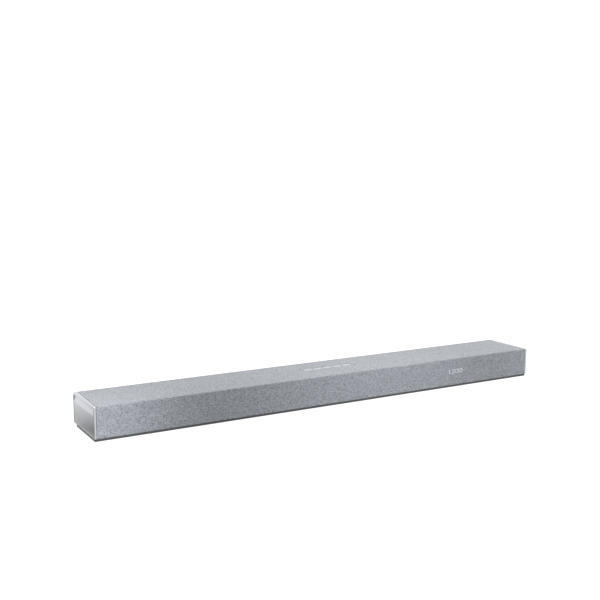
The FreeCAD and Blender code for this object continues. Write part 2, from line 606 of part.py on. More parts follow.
inserts = []
for side in SIDES.values():
    mouth = (f"{side}*insert_reach", REAR_SKIN, "insert_height")
    inserts.append(without(rod("-Y", mouth, "insert_radius", "insert_length"),
                           rod("-Y", mouth, "insert_bore", "insert_length")))
finish("wall_mount_inserts", group(*inserts))


# -------------------------------------------------------------------- end caps
CAP_SKIN = "(fabric_thickness+fit_gap)"
CAP_FLOOR = f"({END}-plate_recess)"
cap_screws = []


def cap_block(side, inset, end):
    """A block with the bar's rounded end section, from the cabinet to a given end."""
    body = new_body("cap_block")
    sketch = new_sketch(body, "YZ", f"{side}*{SHELL_END}")
    draw_rectangle(sketch, f"-{FACE}+{inset}", f"{FACE}-{inset}", f"{SOLE}+{inset}", f"bar_height-{inset}")
    raise_solid(body, sketch, "YZ", f"{end}-{SHELL_END}", side)
    front = [(f"-{FACE}+{inset}", f"{SOLE}+{inset}"), (f"-{FACE}+{inset}", f"bar_height-{inset}")]
    round_edges(body, X_AXIS, front, f"front_radius-{inset}")
    round_edges(body, X_AXIS, [(f"{FACE}-{inset}", f"bar_height-{inset}")], f"rear_radius-{inset}")
    return body


def soften_end(body, side):
    """Fillet every edge of a block that lies on the bar's end plane."""
    feature = body.Tip
    limit = side * number(END)
    names = [f"Edge{index}" for index, edge in enumerate(feature.Shape.Edges, start=1)
             if abs(edge.BoundBox.XMin - limit) < TOLERANCE and abs(edge.BoundBox.XMax - limit) < TOLERANCE]
    fillet = body.newObject("PartDesign::Fillet", "edge")
    fillet.Base = (feature, names)
    fillet.setExpression("Radius", bound("cap_edge_radius"))
    doc.recompute()


def side_block(side, near, far, y_from, y_to, z_from, z_to):
    """A block between two distances from the middle, on one side of the bar."""
    if side > 0:
        return block(near, far, y_from, y_to, z_from, z_to)
    return block(f"-({far})", f"-({near})", y_from, y_to, z_from, z_to)


for name, side in SIDES.items():
    outward = "X" if side > 0 else "-X"
    inward = "-X" if side > 0 else "X"
    rim = cap_block(side, "0", END)
    soften_end(rim, side)
    wedge = new_body("cap_wedge")
    sketch = new_sketch(wedge, "XY", "0")
    draw_polygon(sketch, [(f"{side}*({END}-cap_front_rim)", f"-{FACE}"), (f"{side}*{END}", f"-{FACE}"),
                          (f"{side}*{END}", FACE), (f"{side}*({END}-cap_rear_rim)", FACE)])
    raise_solid(wedge, sketch, "XY", "bar_height", 1)
    core = cap_block(side, CAP_SKIN, f"({END}-fabric_thickness)")
    recess = side_block(side, CAP_FLOOR, f"{END}+fit_gap", f"-{FACE}+cap_nose_rim", f"{FACE}-cap_tail_rim",
                        f"{SOLE}+cap_sill_rim", "bar_height-cap_top_rim")
    ring = f"({CAP_SKIN}+cap_ring)"
    hollow = side_block(side, SHELL_END, f"{CAP_FLOOR}-cap_face", f"-{FACE}+{ring}", f"{FACE}-{ring}",
                        f"{SOLE}+{ring}", f"bar_height-{ring}")
    bosses, holes, heads = [], [], []
    for turn in SIDES.values():
        for rise in SIDES.values():
            spot = (f"{turn}*cap_screw_spread", f"driver_height+{rise}*cap_screw_rise")
            inner = (f"{side}*{SHELL_END}", *spot)
            seat = (f"{side}*{CAP_FLOOR}", *spot)
            bosses.append(rod(outward, inner, "boss_radius", "cap_inset"))
            holes.append(rod(outward, inner, "screw_radius+screw_clearance", "cap_inset"))
            heads.append(rod(inward, seat, "screw_head_radius+fit_gap", "screw_head_height+fit_gap"))
            cap_screws.append(screw(inward, (f"{side}*({CAP_FLOOR}-fit_gap)", *spot), "cap_screw_length"))
    cap = without(joined(core, shared(rim, wedge)), recess, without(hollow, *bosses), *holes, *heads)
    finish("end_cap_" + name, cap)

    plate = new_body("end_plate_" + name)
    sketch = new_sketch(plate, "XZ", f"-{FACE}+cap_nose_rim+plate_gap")
    plate_top = "(bar_height-cap_top_rim-groove_height)"
    outer = f"{side}*({END}-plate_proud)"
    draw_polygon(sketch, [(f"{side}*{CAP_FLOOR}", f"{SOLE}+cap_sill_rim+plate_gap"),
                          (outer, f"{SOLE}+cap_sill_rim+plate_gap"), (outer, f"{plate_top}-bevel_height"),
                          (f"{side}*({END}-plate_proud-bevel_depth)", plate_top),
                          (f"{side}*{CAP_FLOOR}", plate_top)])
    raise_solid(plate, sketch, "XZ", "bar_depth-cap_nose_rim-cap_tail_rim-2*plate_gap", 1)
    finish("end_plate_" + name, plate)
finish("end_cap_screws", group(*cap_screws))


# -------------------------------------------------------------------- controls
STRIP_TOP = "(bar_height-strip_sink)"
bezel = new_body("control_bezel")
sketch = new_sketch(bezel, "XY", SHELL_TOP)
draw_capsule(sketch, "strip_centre", "strip_back", "strip_length", "strip_width")
raise_solid(bezel, sketch, "XY", f"{STRIP_TOP}-{SHELL_TOP}", 1)
sketch = new_sketch(bezel, "XY", STRIP_TOP)
for step in range(-2, 3):
    draw_capsule(sketch, f"strip_centre+{step}*key_pitch", "strip_back",
                 "key_length+2*key_gap", "key_width+2*key_gap")
cut_solid(bezel, sketch, "XY", f"{STRIP_TOP}-{SHELL_TOP}", -1)
finish("control_bezel", bezel)

KEYS = ["button_power", "button_source", "button_volume_down", "button_volume_up", "button_mute"]
BOARD_TOP = f"({CEILING}-control_board_drop)"
switches = []
for step, name in enumerate(KEYS, start=-2):
    centre = f"strip_centre+{step}*key_pitch"
    key = new_body(name)
    key_bottom = f"({STRIP_TOP}+key_proud-key_thickness)"
    sketch = new_sketch(key, "XY", key_bottom)
    draw_capsule(sketch, centre, "strip_back", "key_length", "key_width")
    raise_solid(key, sketch, "XY", "key_thickness", 1)
    sketch = new_sketch(key, "XY", f"{key_bottom}+key_thickness/2")
    draw_circle(sketch, centre, "strip_back", "stem_radius")
    raise_solid(key, sketch, "XY", f"{key_bottom}+key_thickness/2-{CEILING}+stem_below", -1)
    sketch = new_sketch(key, "XY", f"{CEILING}-key_gap")
    draw_circle(sketch, centre, "strip_back", "collar_radius")
    raise_solid(key, sketch, "XY", "collar_height", -1)
    finish(name, key)
    base = block(f"{centre}-switch_side/2", f"{centre}+switch_side/2", "strip_back-switch_side/2",
                 "strip_back+switch_side/2", BOARD_TOP, f"{BOARD_TOP}+switch_height")
    tip = rod("Z", (centre, "strip_back", BOARD_TOP), "switch_tip_radius", "switch_tip")
    switches.append(joined(base, tip))
finish("tact_switches", group(*switches))


def pierced_board(x_from, x_to, y_from, y_to, z_from, spots):
    """A circuit board with a clearance hole at each screw."""
    board = block(x_from, x_to, y_from, y_to, z_from, f"{z_from}+board_thickness")
    holes = [rod("Z", (across, back, z_from), "screw_radius+screw_clearance", "board_thickness")
             for across, back in spots]
    return without(board, *holes)


CONTROL_SPOTS = [(f"strip_centre+{side}*control_boss_spread", "strip_back") for side in SIDES.values()]
finish("control_board", pierced_board(
    "strip_centre-control_board_length/2", "strip_centre+control_board_length/2",
    "strip_back-control_board_width/2", "strip_back+control_board_width/2",
    f"{BOARD_TOP}-board_thickness", CONTROL_SPOTS))

# --------------------------------------------------------------------- display
finish("display_window", block(
    "display_centre-display_length/2", "display_centre+display_length/2",
    f"-{FRAME_FACE}", f"-{BAFFLE_BACK}",
    "display_height-display_rise/2", "display_height+display_rise/2"))
finish("display_board", block(
    "display_centre+display_board_shift-display_board_length/2",
    "display_centre+display_board_shift+display_board_length/2",
    f"-{BAFFLE_BACK}", f"-{BAFFLE_BACK}+board_thickness",
    "display_height-display_board_rise/2", "display_height+display_board_rise/2"))
finish("ir_receiver", rod(
    "-Y", ("display_centre+receiver_shift", f"-{BAFFLE_BACK}", "display_height"),
    "receiver_radius", "receiver_length"))

# ---------------------------------------------------------- boards and sockets
finish("main_board", pierced_board(
    "bay_centre-main_board_length/2", "bay_centre+main_board_length/2",
    "main_board_front", "main_board_back", "socket_board_height", MAIN_POSTS))
finish("power_board", pierced_board(
    "power_board_left", "power_board_right", "main_board_front", "power_board_back",
    "socket_board_height", POWER_POSTS))
SCREW_TOP = f"({SOCKET_BASE}+screw_head_height)"
finish("board_screws", group(
    *[screw("-Z", (across, back, SCREW_TOP), "board_screw_length")
      for across, back in MAIN_POSTS + POWER_POSTS],
    *[screw("Z", (across, back, f"{BOARD_TOP}-board_thickness-screw_head_height"), "control_screw_length")
      for across, back in CONTROL_SPOTS]))

core = block("power_board_left+choke_from", "power_board_left+choke_from+choke_length",
             "choke_front", "choke_front+choke_width", f"{SOCKET_BASE}+choke_lift",
             f"{SOCKET_BASE}+choke_height-choke_lift")
bobbin = block("power_board_left+choke_from+choke_lift",
               "power_board_left+choke_from+choke_length-choke_lift",
               "choke_front-choke_lift", "choke_front+choke_width+choke_lift", SOCKET_BASE,
               f"{SOCKET_BASE}+choke_height")
finish("supply_transformer", joined(core, bobbin))
finish("supply_capacitors", group(*[
    rod("Z", ("power_board_left+capacitor_from", f"capacitor_front+{step}*capacitor_pitch", SOCKET_BASE),
        "capacitor_radius", "capacitor_height") for step in range(2)]))
fins = [block("power_board_right-sink_from", "power_board_right-sink_from+sink_wall",
              "sink_front", "sink_front+sink_length", SOCKET_BASE, f"{SOCKET_BASE}+sink_height")]
for step in range(6):
    fins.append(block("power_board_right-sink_from-fin_length", "power_board_right-sink_from",
                      f"sink_front+{step}*fin_pitch", f"sink_front+{step}*fin_pitch+fin_wall",
                      SOCKET_BASE, f"{SOCKET_BASE}+sink_height"))
finish("heat_sink", joined(*fins))
finish("wireless_module", block(
    "radio_left", "radio_left+radio_length", "radio_front", "radio_front+radio_width",
    SOCKET_BASE, f"{SOCKET_BASE}+radio_height"))

MOUTH = f"({BAY_FLOOR}+panel_thickness+fit_gap)"
SOCKETS = {
    "av_sockets": [("av_centre", "av_width", "av_height"), ("av_centre+av_pitch", "av_width", "av_height")],
    "optical_socket": [("optical_centre", "optical_side", "optical_side")],
    "usb_socket": [("usb_centre", "usb_width", "usb_height")],
}
panel_holes = []
for name, sockets in SOCKETS.items():
    made = []
    for centre, width, height in sockets:
        outer = block(f"{centre}-{width}/2", f"{centre}+{width}/2", f"{MOUTH}-socket_depth", MOUTH,
                      SOCKET_BASE, f"{SOCKET_BASE}+{height}")
        cavity = block(f"{centre}-{width}/2+socket_wall", f"{centre}+{width}/2-socket_wall",
                       f"{MOUTH}-socket_depth+socket_back", MOUTH,
                       f"{SOCKET_BASE}+socket_wall", f"{SOCKET_BASE}+{height}-socket_wall")
        tongue = block(f"{centre}-{width}/3", f"{centre}+{width}/3",
                       f"{MOUTH}-socket_depth+socket_back/2", f"{MOUTH}-socket_back",
                       f"{SOCKET_BASE}+{height}/2-socket_wall", f"{SOCKET_BASE}+{height}/2+socket_wall")
        made.append(joined(without(outer, cavity), tongue))
        panel_holes.append(block(f"{centre}-{width}/2-fit_gap", f"{centre}+{width}/2+fit_gap",
                                 BAY_FLOOR, f"{BAY_FLOOR}+panel_thickness",
                                 f"{SOCKET_BASE}-fit_gap", f"{SOCKET_BASE}+{height}+fit_gap"))
    finish(name, made[0] if len(made) == 1 else group(*made))
panel = block("bay_centre-panel_length/2", "bay_centre+panel_length/2", BAY_FLOOR,
              f"{BAY_FLOOR}+panel_thickness", "panel_bottom", "panel_top")
finish("io_panel", without(panel, *panel_holes))

shroud = block("mains_centre-inlet_width/2", "mains_centre+inlet_width/2", f"{MOUTH}-inlet_depth", MOUTH,
               "inlet_lift-inlet_height/2", "inlet_lift+inlet_height/2")
wells, pins = [], []
for side in SIDES.values():
    spot = f"mains_centre+{side}*inlet_pin_spread"
    wells.append(rod("-Y", (spot, MOUTH, "inlet_lift"), "inlet_mouth_radius", "inlet_mouth_depth"))
    pins.append(rod("Y", (spot, f"{MOUTH}-inlet_mouth_depth-socket_back", "inlet_lift"),
                    "inlet_pin_radius", "inlet_pin_length+socket_back"))
finish("mains_inlet", joined(without(shroud, *wells), *pins))


# --------------------------------------------------------------- loudspeakers
def ring(axis, centre, outer, inner, length):
    """A round tube along an axis."""
    return without(rod(axis, centre, outer, length), rod(axis, centre, inner, length))


FLANGE_FACE = f"(-{BAFFLE}-woofer_flange)"
BUCKET_BACK = f"(-{BAFFLE}+bucket_depth)"
WOOFERS = {"left": "-woofer_reach", "centre": "0", "right": "woofer_reach"}
for name, centre in WOOFERS.items():
    basket = new_body("basket_" + name)
    sketch = new_sketch(basket, "XZ", FLANGE_FACE)
    draw_capsule(sketch, centre, "driver_height", "woofer_length", "woofer_width")
    raise_solid(basket, sketch, "XZ", "woofer_flange", 1)
    sketch = new_sketch(basket, "XZ", f"-{BAFFLE}-woofer_flange/2")
    draw_capsule(sketch, centre, "driver_height", "bucket_length", "bucket_width")
    raise_solid(basket, sketch, "XZ", "bucket_depth+woofer_flange/2", 1)
    sketch = new_sketch(basket, "XZ", FLANGE_FACE)
    draw_capsule(sketch, centre, "driver_height", "bucket_length-2*bucket_wall", "bucket_width-2*bucket_wall")
    cut_solid(basket, sketch, "XZ", "woofer_flange+bucket_depth-bucket_wall", 1)
    sketch = new_sketch(basket, "XZ", FLANGE_FACE)
    draw_circle(sketch, centre, "driver_height", "coil_radius+coil_gap")
    cut_solid(basket, sketch, "XZ", "woofer_flange+bucket_depth", 1)
    finish("basket_" + name, basket)

    back = (centre, BUCKET_BACK, "driver_height")
    gap = ring("Y", back, "coil_radius+coil_gap", "coil_radius-coil_wall-coil_gap", "motor_gap_depth")
    finish("motor_" + name, without(rod("Y", back, "motor_radius", "motor_depth"), gap))

    piston = new_body("cone_" + name)
    sketch = new_sketch(piston, "XZ", FLANGE_FACE)
    draw_capsule(sketch, centre, "driver_height", "cone_length", "cone_width")
    raise_solid(piston, sketch, "XZ", "cone_depth", 1, "cone_taper")
    sketch = new_sketch(piston, "XZ", f"{FLANGE_FACE}+cone_depth-cone_wall/2")
    draw_circle(sketch, centre, "driver_height", "coil_radius")
    raise_solid(piston, sketch, "XZ", "coil_length", 1)
    sketch = new_sketch(piston, "XZ", f"{FLANGE_FACE}+cone_depth")
    draw_circle(sketch, centre, "driver_height", "coil_radius-coil_wall")
    cut_solid(piston, sketch, "XZ", "coil_length", 1)
    sketch = new_sketch(piston, "XZ", FLANGE_FACE)
    draw_capsule(sketch, centre, "driver_height", "cone_length-2*cone_wall", "cone_width-2*cone_wall")
    cut_solid(piston, sketch, "XZ", "cone_depth-cone_wall", 1, "cone_taper")
    finish("cone_" + name, piston)

    surround = new_body("surround_" + name)
    sketch = new_sketch(surround, "XZ", FLANGE_FACE)
    draw_capsule(sketch, centre, "driver_height", "roll_outer", "roll_outer-woofer_length+woofer_width")
    draw_capsule(sketch, centre, "driver_height", "roll_outer-2*roll_overlap",
                 "roll_outer-woofer_length+woofer_width-2*roll_overlap")
    raise_solid(surround, sketch, "XZ", "roll_height", -1)
    finish("surround_" + name, surround)

LEDGE = f"({CEILING}-height_flange/2)"
UNDER = f"({CEILING}-height_flange)"
BASKET_FLOOR = f"({UNDER}-height_basket_depth)"
for name, side in SIDES.items():
    centre = f"{side}*height_reach"
    flange = rod("-Z", (centre, "height_back", CEILING), "height_flange_radius", "height_flange")
    can = rod("-Z", (centre, "height_back", UNDER), "height_basket_radius", "height_basket_depth")
    finish("height_basket_" + name, without(
        joined(flange, can),
        rod("-Z", (centre, "height_back", CEILING), "height_opening", "height_flange/2"),
        rod("-Z", (centre, "height_back", CEILING), "height_ledge",
            "height_flange+height_basket_depth-height_floor"),
        rod("-Z", (centre, "height_back", CEILING), "coil_radius+coil_gap",
            "height_flange+height_basket_depth")))
    top = (centre, "height_back", BASKET_FLOOR)
    gap = ring("-Z", top, "coil_radius+coil_gap", "coil_radius-coil_wall-coil_gap", "motor_gap_depth")
    finish("height_motor_" + name, without(rod("-Z", top, "height_motor_radius", "height_motor_depth"), gap))
    rim = (centre, "height_back", LEDGE)
    dish = without(
        cone("-Z", rim, "height_cone_radius", "coil_radius", "height_cone_depth"),
        cone("-Z", (centre, "height_back", f"{LEDGE}+cone_wall"), "height_cone_radius", "coil_radius",
             "height_cone_depth"))
    coil = ring("-Z", (centre, "height_back", f"{LEDGE}-height_cone_depth"), "coil_radius",
                "coil_radius-coil_wall", "coil_length-cone_depth/2")
    finish("height_cone_" + name, joined(dish, coil))
    roll = doc.addObject("Part::Torus", "roll")
    roll.setExpression("Radius1", bound("height_roll_centre"))
    roll.setExpression("Radius2", bound("height_roll_radius"))
    place(roll, rim)
    outer_reach = "(height_roll_centre+height_roll_radius)"
    upper = rod("Z", rim, outer_reach, "height_roll_radius")
    finish("height_surround_" + name, shared(roll, upper))

TWEETER_FACE = f"(-{BAFFLE}-tweeter_plate)"
for name, side in SIDES.items():
    centre = f"{side}*tweeter_reach"
    face = (centre, TWEETER_FACE, "driver_height")
    plate = rod("Y", face, "tweeter_plate_radius", "tweeter_plate")
    can = rod("Y", face, "tweeter_can_radius", "tweeter_plate+tweeter_can_depth")
    mouth = rod("Y", face, "tweeter_mouth_radius", "tweeter_mouth_depth")
    finish("tweeter_body_" + name, without(joined(plate, can), mouth))
    cap_level = "(dome_sphere_radius*dome_sphere_radius-dome_radius*dome_radius)^0.5"
    ball_centre = (centre, f"{TWEETER_FACE}+dome_wall+{cap_level}", "driver_height")
    ball = doc.addObject("Part::Sphere", "ball")
    ball.setExpression("Radius", bound("dome_sphere_radius"))
    place(ball, ball_centre)
    dome = shared(ball, rod("-Y", (centre, f"{TWEETER_FACE}+dome_wall", "driver_height"),
                            "dome_radius", "dome_sphere_radius"))
    coil = ring("Y", (centre, f"{TWEETER_FACE}+dome_wall", "driver_height"), "dome_radius",
                "dome_radius-dome_wall", "dome_coil_length")
    finish("tweeter_dome_" + name, joined(dome, coil))

# ---------------------------------------------------------- checks and export
doc.recompute()
faults = [item.Label for item in doc.Objects if {"Invalid", "Error"} & set(item.State)]
for label, item in NODES.items():
    if item.Shape.isNull() or not item.Shape.isValid():
        faults.append(label)
for label, item in NODES.items():
    shape = item.Shape
    box = shape.BoundBox
    limits = ", ".join(f"{low:.2f}..{high:.2f}" for low, high in (
        (box.XMin, box.XMax), (box.YMin, box.YMax), (box.ZMin, box.ZMax)))
    print(f"{label}: {len(shape.Solids)} solid(s), {shape.Volume / 1000:.2f} cm3, {limits}")
if faults:
    raise RuntimeError(f"faulty objects: {faults}")
for label, item in NODES.items():
    item.Shape.exportStep(f"parts/{label}.step")
print(f"{len(NODES)} sub-parts exported")
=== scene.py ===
# %% [markdown]
# # A cloth-wrapped soundbar, finished around its CAD frame
#
# The CAD model gives every solid of the bar: cabinet, end caps, keys, drivers, boards and sockets.
# This lesson loads that frame, keeps the solids whose shape is right, and remakes the pieces that
# the eye meets first: the cloth, the metal ends, the keys and the lit figures behind the cloth.
# Everything is in metres: x runs along the bar, the front faces -y, and z is up.

# %% Load the frame
import json
import math

import bmesh
import bpy
import numpy as np
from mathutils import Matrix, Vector

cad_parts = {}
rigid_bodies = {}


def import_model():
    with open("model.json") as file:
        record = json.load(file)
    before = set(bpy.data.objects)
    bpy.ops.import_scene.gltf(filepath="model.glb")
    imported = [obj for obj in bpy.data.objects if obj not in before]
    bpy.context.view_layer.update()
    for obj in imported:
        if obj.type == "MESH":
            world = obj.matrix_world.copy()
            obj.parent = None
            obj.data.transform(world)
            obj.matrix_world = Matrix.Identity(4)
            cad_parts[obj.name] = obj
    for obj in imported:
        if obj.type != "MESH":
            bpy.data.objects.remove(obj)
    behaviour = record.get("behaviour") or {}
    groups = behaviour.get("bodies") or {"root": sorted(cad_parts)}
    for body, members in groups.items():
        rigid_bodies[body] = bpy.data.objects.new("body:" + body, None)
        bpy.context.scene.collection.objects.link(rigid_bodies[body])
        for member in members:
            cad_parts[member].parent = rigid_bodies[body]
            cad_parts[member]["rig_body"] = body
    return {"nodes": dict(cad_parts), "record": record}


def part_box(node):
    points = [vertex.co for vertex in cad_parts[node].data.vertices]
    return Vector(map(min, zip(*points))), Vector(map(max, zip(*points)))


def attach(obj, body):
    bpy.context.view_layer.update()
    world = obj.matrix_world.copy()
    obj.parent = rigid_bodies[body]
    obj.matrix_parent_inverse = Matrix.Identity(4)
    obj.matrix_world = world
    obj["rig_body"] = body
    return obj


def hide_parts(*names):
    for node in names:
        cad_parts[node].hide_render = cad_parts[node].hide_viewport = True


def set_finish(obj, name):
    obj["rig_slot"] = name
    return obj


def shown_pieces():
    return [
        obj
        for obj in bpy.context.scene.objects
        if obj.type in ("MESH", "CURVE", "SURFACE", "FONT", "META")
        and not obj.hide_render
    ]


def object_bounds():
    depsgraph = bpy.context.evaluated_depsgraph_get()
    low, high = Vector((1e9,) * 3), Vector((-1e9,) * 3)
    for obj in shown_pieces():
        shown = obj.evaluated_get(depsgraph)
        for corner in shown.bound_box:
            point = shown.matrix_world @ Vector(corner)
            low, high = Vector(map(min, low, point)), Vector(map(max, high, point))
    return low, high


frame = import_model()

cad_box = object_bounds()
MM = 0.001
print("bar size in mm", np.round((np.array(cad_box[1]) - np.array(cad_box[0])) / MM, 1))

# %% [markdown]
# ## Places taken from the frame
#
# Nothing is typed in that the frame already knows. The cloth, the caps, the plates and the keys
# each have a CAD solid, so its box gives the limits of the finished piece. Only the small radii
# and the widths inside a box are named here.

# %% Read the limits of the pieces
cloth_low, cloth_high = (np.array(corner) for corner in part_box("fabric_wrap"))
cap_low, cap_high = (np.array(corner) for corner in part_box("end_cap_right"))
plate_low, plate_high = (np.array(corner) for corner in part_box("end_plate_right"))
bezel_low, bezel_high = (np.array(corner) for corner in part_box("control_bezel"))
window_low, window_high = (np.array(corner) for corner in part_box("display_window"))

BAR_END = cap_high[0]
FRONT, BACK = cap_low[1], cap_high[1]
SOLE, TOP = cap_low[2], cap_high[2]
FRONT_RADIUS = 2.5 * MM
REAR_RADIUS = 3 * MM
SILL_RADIUS = 1.4 * MM
BOTTOM_LIP = 12.5 * MM
REAR_LIP = TOP - 57 * MM
CAP_RIM_FRONT = 4.2 * MM
CAP_RIM_REAR = 8 * MM
CLOTH_GAP = 0.6 * MM
print("end, front, back, sole, top in mm", np.round(np.array([BAR_END, FRONT, BACK, SOLE, TOP]) / MM, 2))
print("cloth solid in mm", np.round((cloth_high - cloth_low) / MM, 1))

# %% [markdown]
# ## From a grid of points to a mesh
#
# Each new surface is worked out as a whole array of points with two running directions. A face
# joins four neighbours of that grid, so one function turns any such array into a mesh. A closed
# direction joins its last column back to its first, and a mask leaves faces out where there is
# an opening. Points that fall together, as at the ridge of a key, are merged.

# %% Grid to mesh
def grid_mesh(name, points, closed=False, keep=None, uv=None):
    """A smooth mesh from an (n, m, 3) array.

    Face (i, j) joins points (i, j), (i + 1, j), (i + 1, j + 1), (i, j + 1). closed joins the last
    row of i to the first, keep is a mask of faces, and uv holds one pair per point."""
    rows, columns = points.shape[:2]
    index = np.arange(rows * columns).reshape(rows, columns)
    ahead = np.roll(index, -1, axis=0) if closed else index[1:]
    here = index if closed else index[:-1]
    faces = np.stack([here[:, :-1], ahead[:, :-1], ahead[:, 1:], here[:, 1:]], axis=-1)
    faces = faces[keep] if keep is not None else faces.reshape(-1, 4)
    used, compact = np.unique(faces, return_inverse=True)
    faces = compact.reshape(-1, 4)
    mesh = bpy.data.meshes.new(name)
    mesh.from_pydata(points.reshape(-1, 3)[used], [], faces.tolist())
    if uv is not None:
        layer = mesh.uv_layers.new(name="surface")
        layer.data.foreach_set("uv", uv.reshape(-1, 2)[used][faces.reshape(-1)].reshape(-1))
    mesh.polygons.foreach_set("use_smooth", np.ones(len(faces), dtype=bool))
    mesh.update()
    piece = bpy.data.objects.new(name, mesh)
    bpy.context.scene.collection.objects.link(piece)
    return piece


def merge_points(piece, distance=0.002 * MM):
    """Merge the points of a finished mesh that fall within a small distance of each other."""
    work = bmesh.new()
    work.from_mesh(piece.data)
    bmesh.ops.remove_doubles(work, verts=work.verts, dist=distance)
    bmesh.ops.dissolve_degenerate(work, edges=work.edges, dist=distance / 4)
    work.to_mesh(piece.data)
    work.free()


def stepped(start, stop, step):
    """Evenly spaced values from start to stop, no further apart than step."""
    return np.linspace(start, stop, max(2, int(math.ceil(abs(stop - start) / step)) + 1))


# %% [markdown]
# ## The section of the cloth
#
# On the real bar one piece of woven cloth is pulled over a perforated frame: it starts under the
# bar, turns up round the front, runs back over the top and ends in a short lip at the rear. Its
# section is four straight runs and three quarter circles, so a position along it is simply the
# distance travelled, and that distance later carries the weave round the corners unstretched.

# %% Section of the wrap
def wrap_runs():
    """The section's runs in order: length, start point, start heading, turning radius (0 if straight)."""
    front_rise = TOP - SOLE - SILL_RADIUS - FRONT_RADIUS
    top_depth = BACK - FRONT - FRONT_RADIUS - REAR_RADIUS
    quarter = math.pi / 2
    return [
        (BOTTOM_LIP - SILL_RADIUS, (FRONT + BOTTOM_LIP, SOLE), math.pi, 0),
        (quarter * SILL_RADIUS, (FRONT + SILL_RADIUS, SOLE), math.pi, SILL_RADIUS),
        (front_rise, (FRONT, SOLE + SILL_RADIUS), quarter, 0),
        (quarter * FRONT_RADIUS, (FRONT, TOP - FRONT_RADIUS), quarter, FRONT_RADIUS),
        (top_depth, (FRONT + FRONT_RADIUS, TOP), 0, 0),
        (quarter * REAR_RADIUS, (BACK - REAR_RADIUS, TOP), 0, REAR_RADIUS),
        (REAR_LIP - REAR_RADIUS, (BACK, TOP - REAR_RADIUS), -quarter, 0),
    ]


def wrap_section(travel):
    """Points and outward normals (y, z) of the section at distances travelled along it.

    A straight run adds the distance along its heading; a bend turns the heading clockwise at
    travel / radius."""
    point = np.zeros((len(travel), 2))
    heading = np.zeros(len(travel))
    begin = 0.0
    for length, start, course, radius in wrap_runs():
        inside = travel >= begin - 1e-9
        local = np.clip(travel[inside] - begin, 0, length)
        angle = course - (local / radius if radius else np.zeros_like(local))
        if radius:
            sweep_y = radius * (np.sin(course) - np.sin(angle))
            sweep_z = radius * (np.cos(angle) - np.cos(course))
        else:
            sweep_y, sweep_z = local * math.cos(course), local * math.sin(course)
        point[inside] = np.stack([start[0] + sweep_y, start[1] + sweep_z], axis=-1)
        heading[inside] = angle
        begin += length
    normal = np.stack([-np.sin(heading), np.cos(heading)], axis=-1)
    return point, normal


run_ends = np.cumsum([0] + [run[0] for run in wrap_runs()])
print("section corners in mm", np.round(wrap_section(run_ends)[0] / MM, 1).tolist())

# %% [markdown]
# ## The cloth as one surface
#
# The surface is a grid: one direction runs along the bar, the other along the section. Columns
# stand closer together near the two ends, where the cloth rolls under at the caps, and round the
# control strip, where it turns down into a capsule-shaped hole. A hole in a grid is made in two
# moves: faces whose middle lies inside it are left out, and the points beside it slide onto its
# outline. The cloth is finished with its real thickness, so that its turned edges are solid.

# %% Rows and columns of the cloth
STRIP_CENTRE = (bezel_low[:2] + bezel_high[:2]) / 2
STRIP_PLAY = 0.4 * MM
STRIP_MARGIN = 2 * MM
STRIP_LENGTH = bezel_high[0] - bezel_low[0] + STRIP_PLAY
STRIP_WIDTH = bezel_high[1] - bezel_low[1] + STRIP_PLAY
ROLL = 0.8 * MM
ROLL_ZONE = 1.5 * MM
END_ZONE = 20 * MM
CLOTH_THICKNESS = 0.9 * MM


def cloth_end(depth_place):
    """Distance from the bar's middle to the cloth's end, which slants with the place across the depth."""
    share = (depth_place - FRONT) / (BACK - FRONT)
    return BAR_END - CLOTH_GAP - CAP_RIM_FRONT - share * (CAP_RIM_REAR - CAP_RIM_FRONT)


def cloth_rows():
    """Distances along the section, closer together round the bends and across the control strip."""
    top_start = run_ends[4] - (FRONT + FRONT_RADIUS)
    strip_from = top_start + STRIP_CENTRE[1] - STRIP_WIDTH / 2 - STRIP_MARGIN
    strip_to = top_start + STRIP_CENTRE[1] + STRIP_WIDTH / 2 + STRIP_MARGIN
    return np.unique(np.round(np.concatenate([
        stepped(run_ends[0], run_ends[1], 2 * MM), stepped(run_ends[1], run_ends[2], 0.5 * MM),
        stepped(run_ends[2], run_ends[3], 4 * MM), stepped(run_ends[3], run_ends[4], 0.5 * MM),
        stepped(run_ends[4], strip_from, 5 * MM), stepped(strip_from, strip_to, 0.8 * MM),
        stepped(strip_to, run_ends[5], 5 * MM), stepped(run_ends[5], run_ends[6], 0.8 * MM),
        stepped(run_ends[6], run_ends[7], 1 * MM)]), 9))


def cloth_columns():
    """Places along the bar from end to end of the cloth, closer together at the ends and the strip."""
    half = cloth_end(FRONT)
    strip_from = STRIP_CENTRE[0] - STRIP_LENGTH / 2 - STRIP_MARGIN
    strip_to = STRIP_CENTRE[0] + STRIP_LENGTH / 2 + STRIP_MARGIN
    return np.unique(np.round(np.concatenate([
        stepped(-half, -half + ROLL_ZONE, 0.15 * MM), stepped(-half + ROLL_ZONE, -half + END_ZONE, 3 * MM),
        stepped(-half + END_ZONE, strip_from, 8 * MM), stepped(strip_from, strip_to, 0.8 * MM),
        stepped(strip_to, half - END_ZONE, 8 * MM), stepped(half - END_ZONE, half - ROLL_ZONE, 3 * MM),
        stepped(half - ROLL_ZONE, half, 0.15 * MM)]), 9))


def edge_roll(distance):
    """How far a surface has dropped at a distance from its rolled edge: a quarter circle of radius ROLL."""
    inside = np.clip(ROLL - distance, 0, ROLL)
    return ROLL - np.sqrt(ROLL ** 2 - inside ** 2)


# %% The cloth itself
SLIDE_IN, SLIDE_OUT = 0.45 * MM, 1.2 * MM


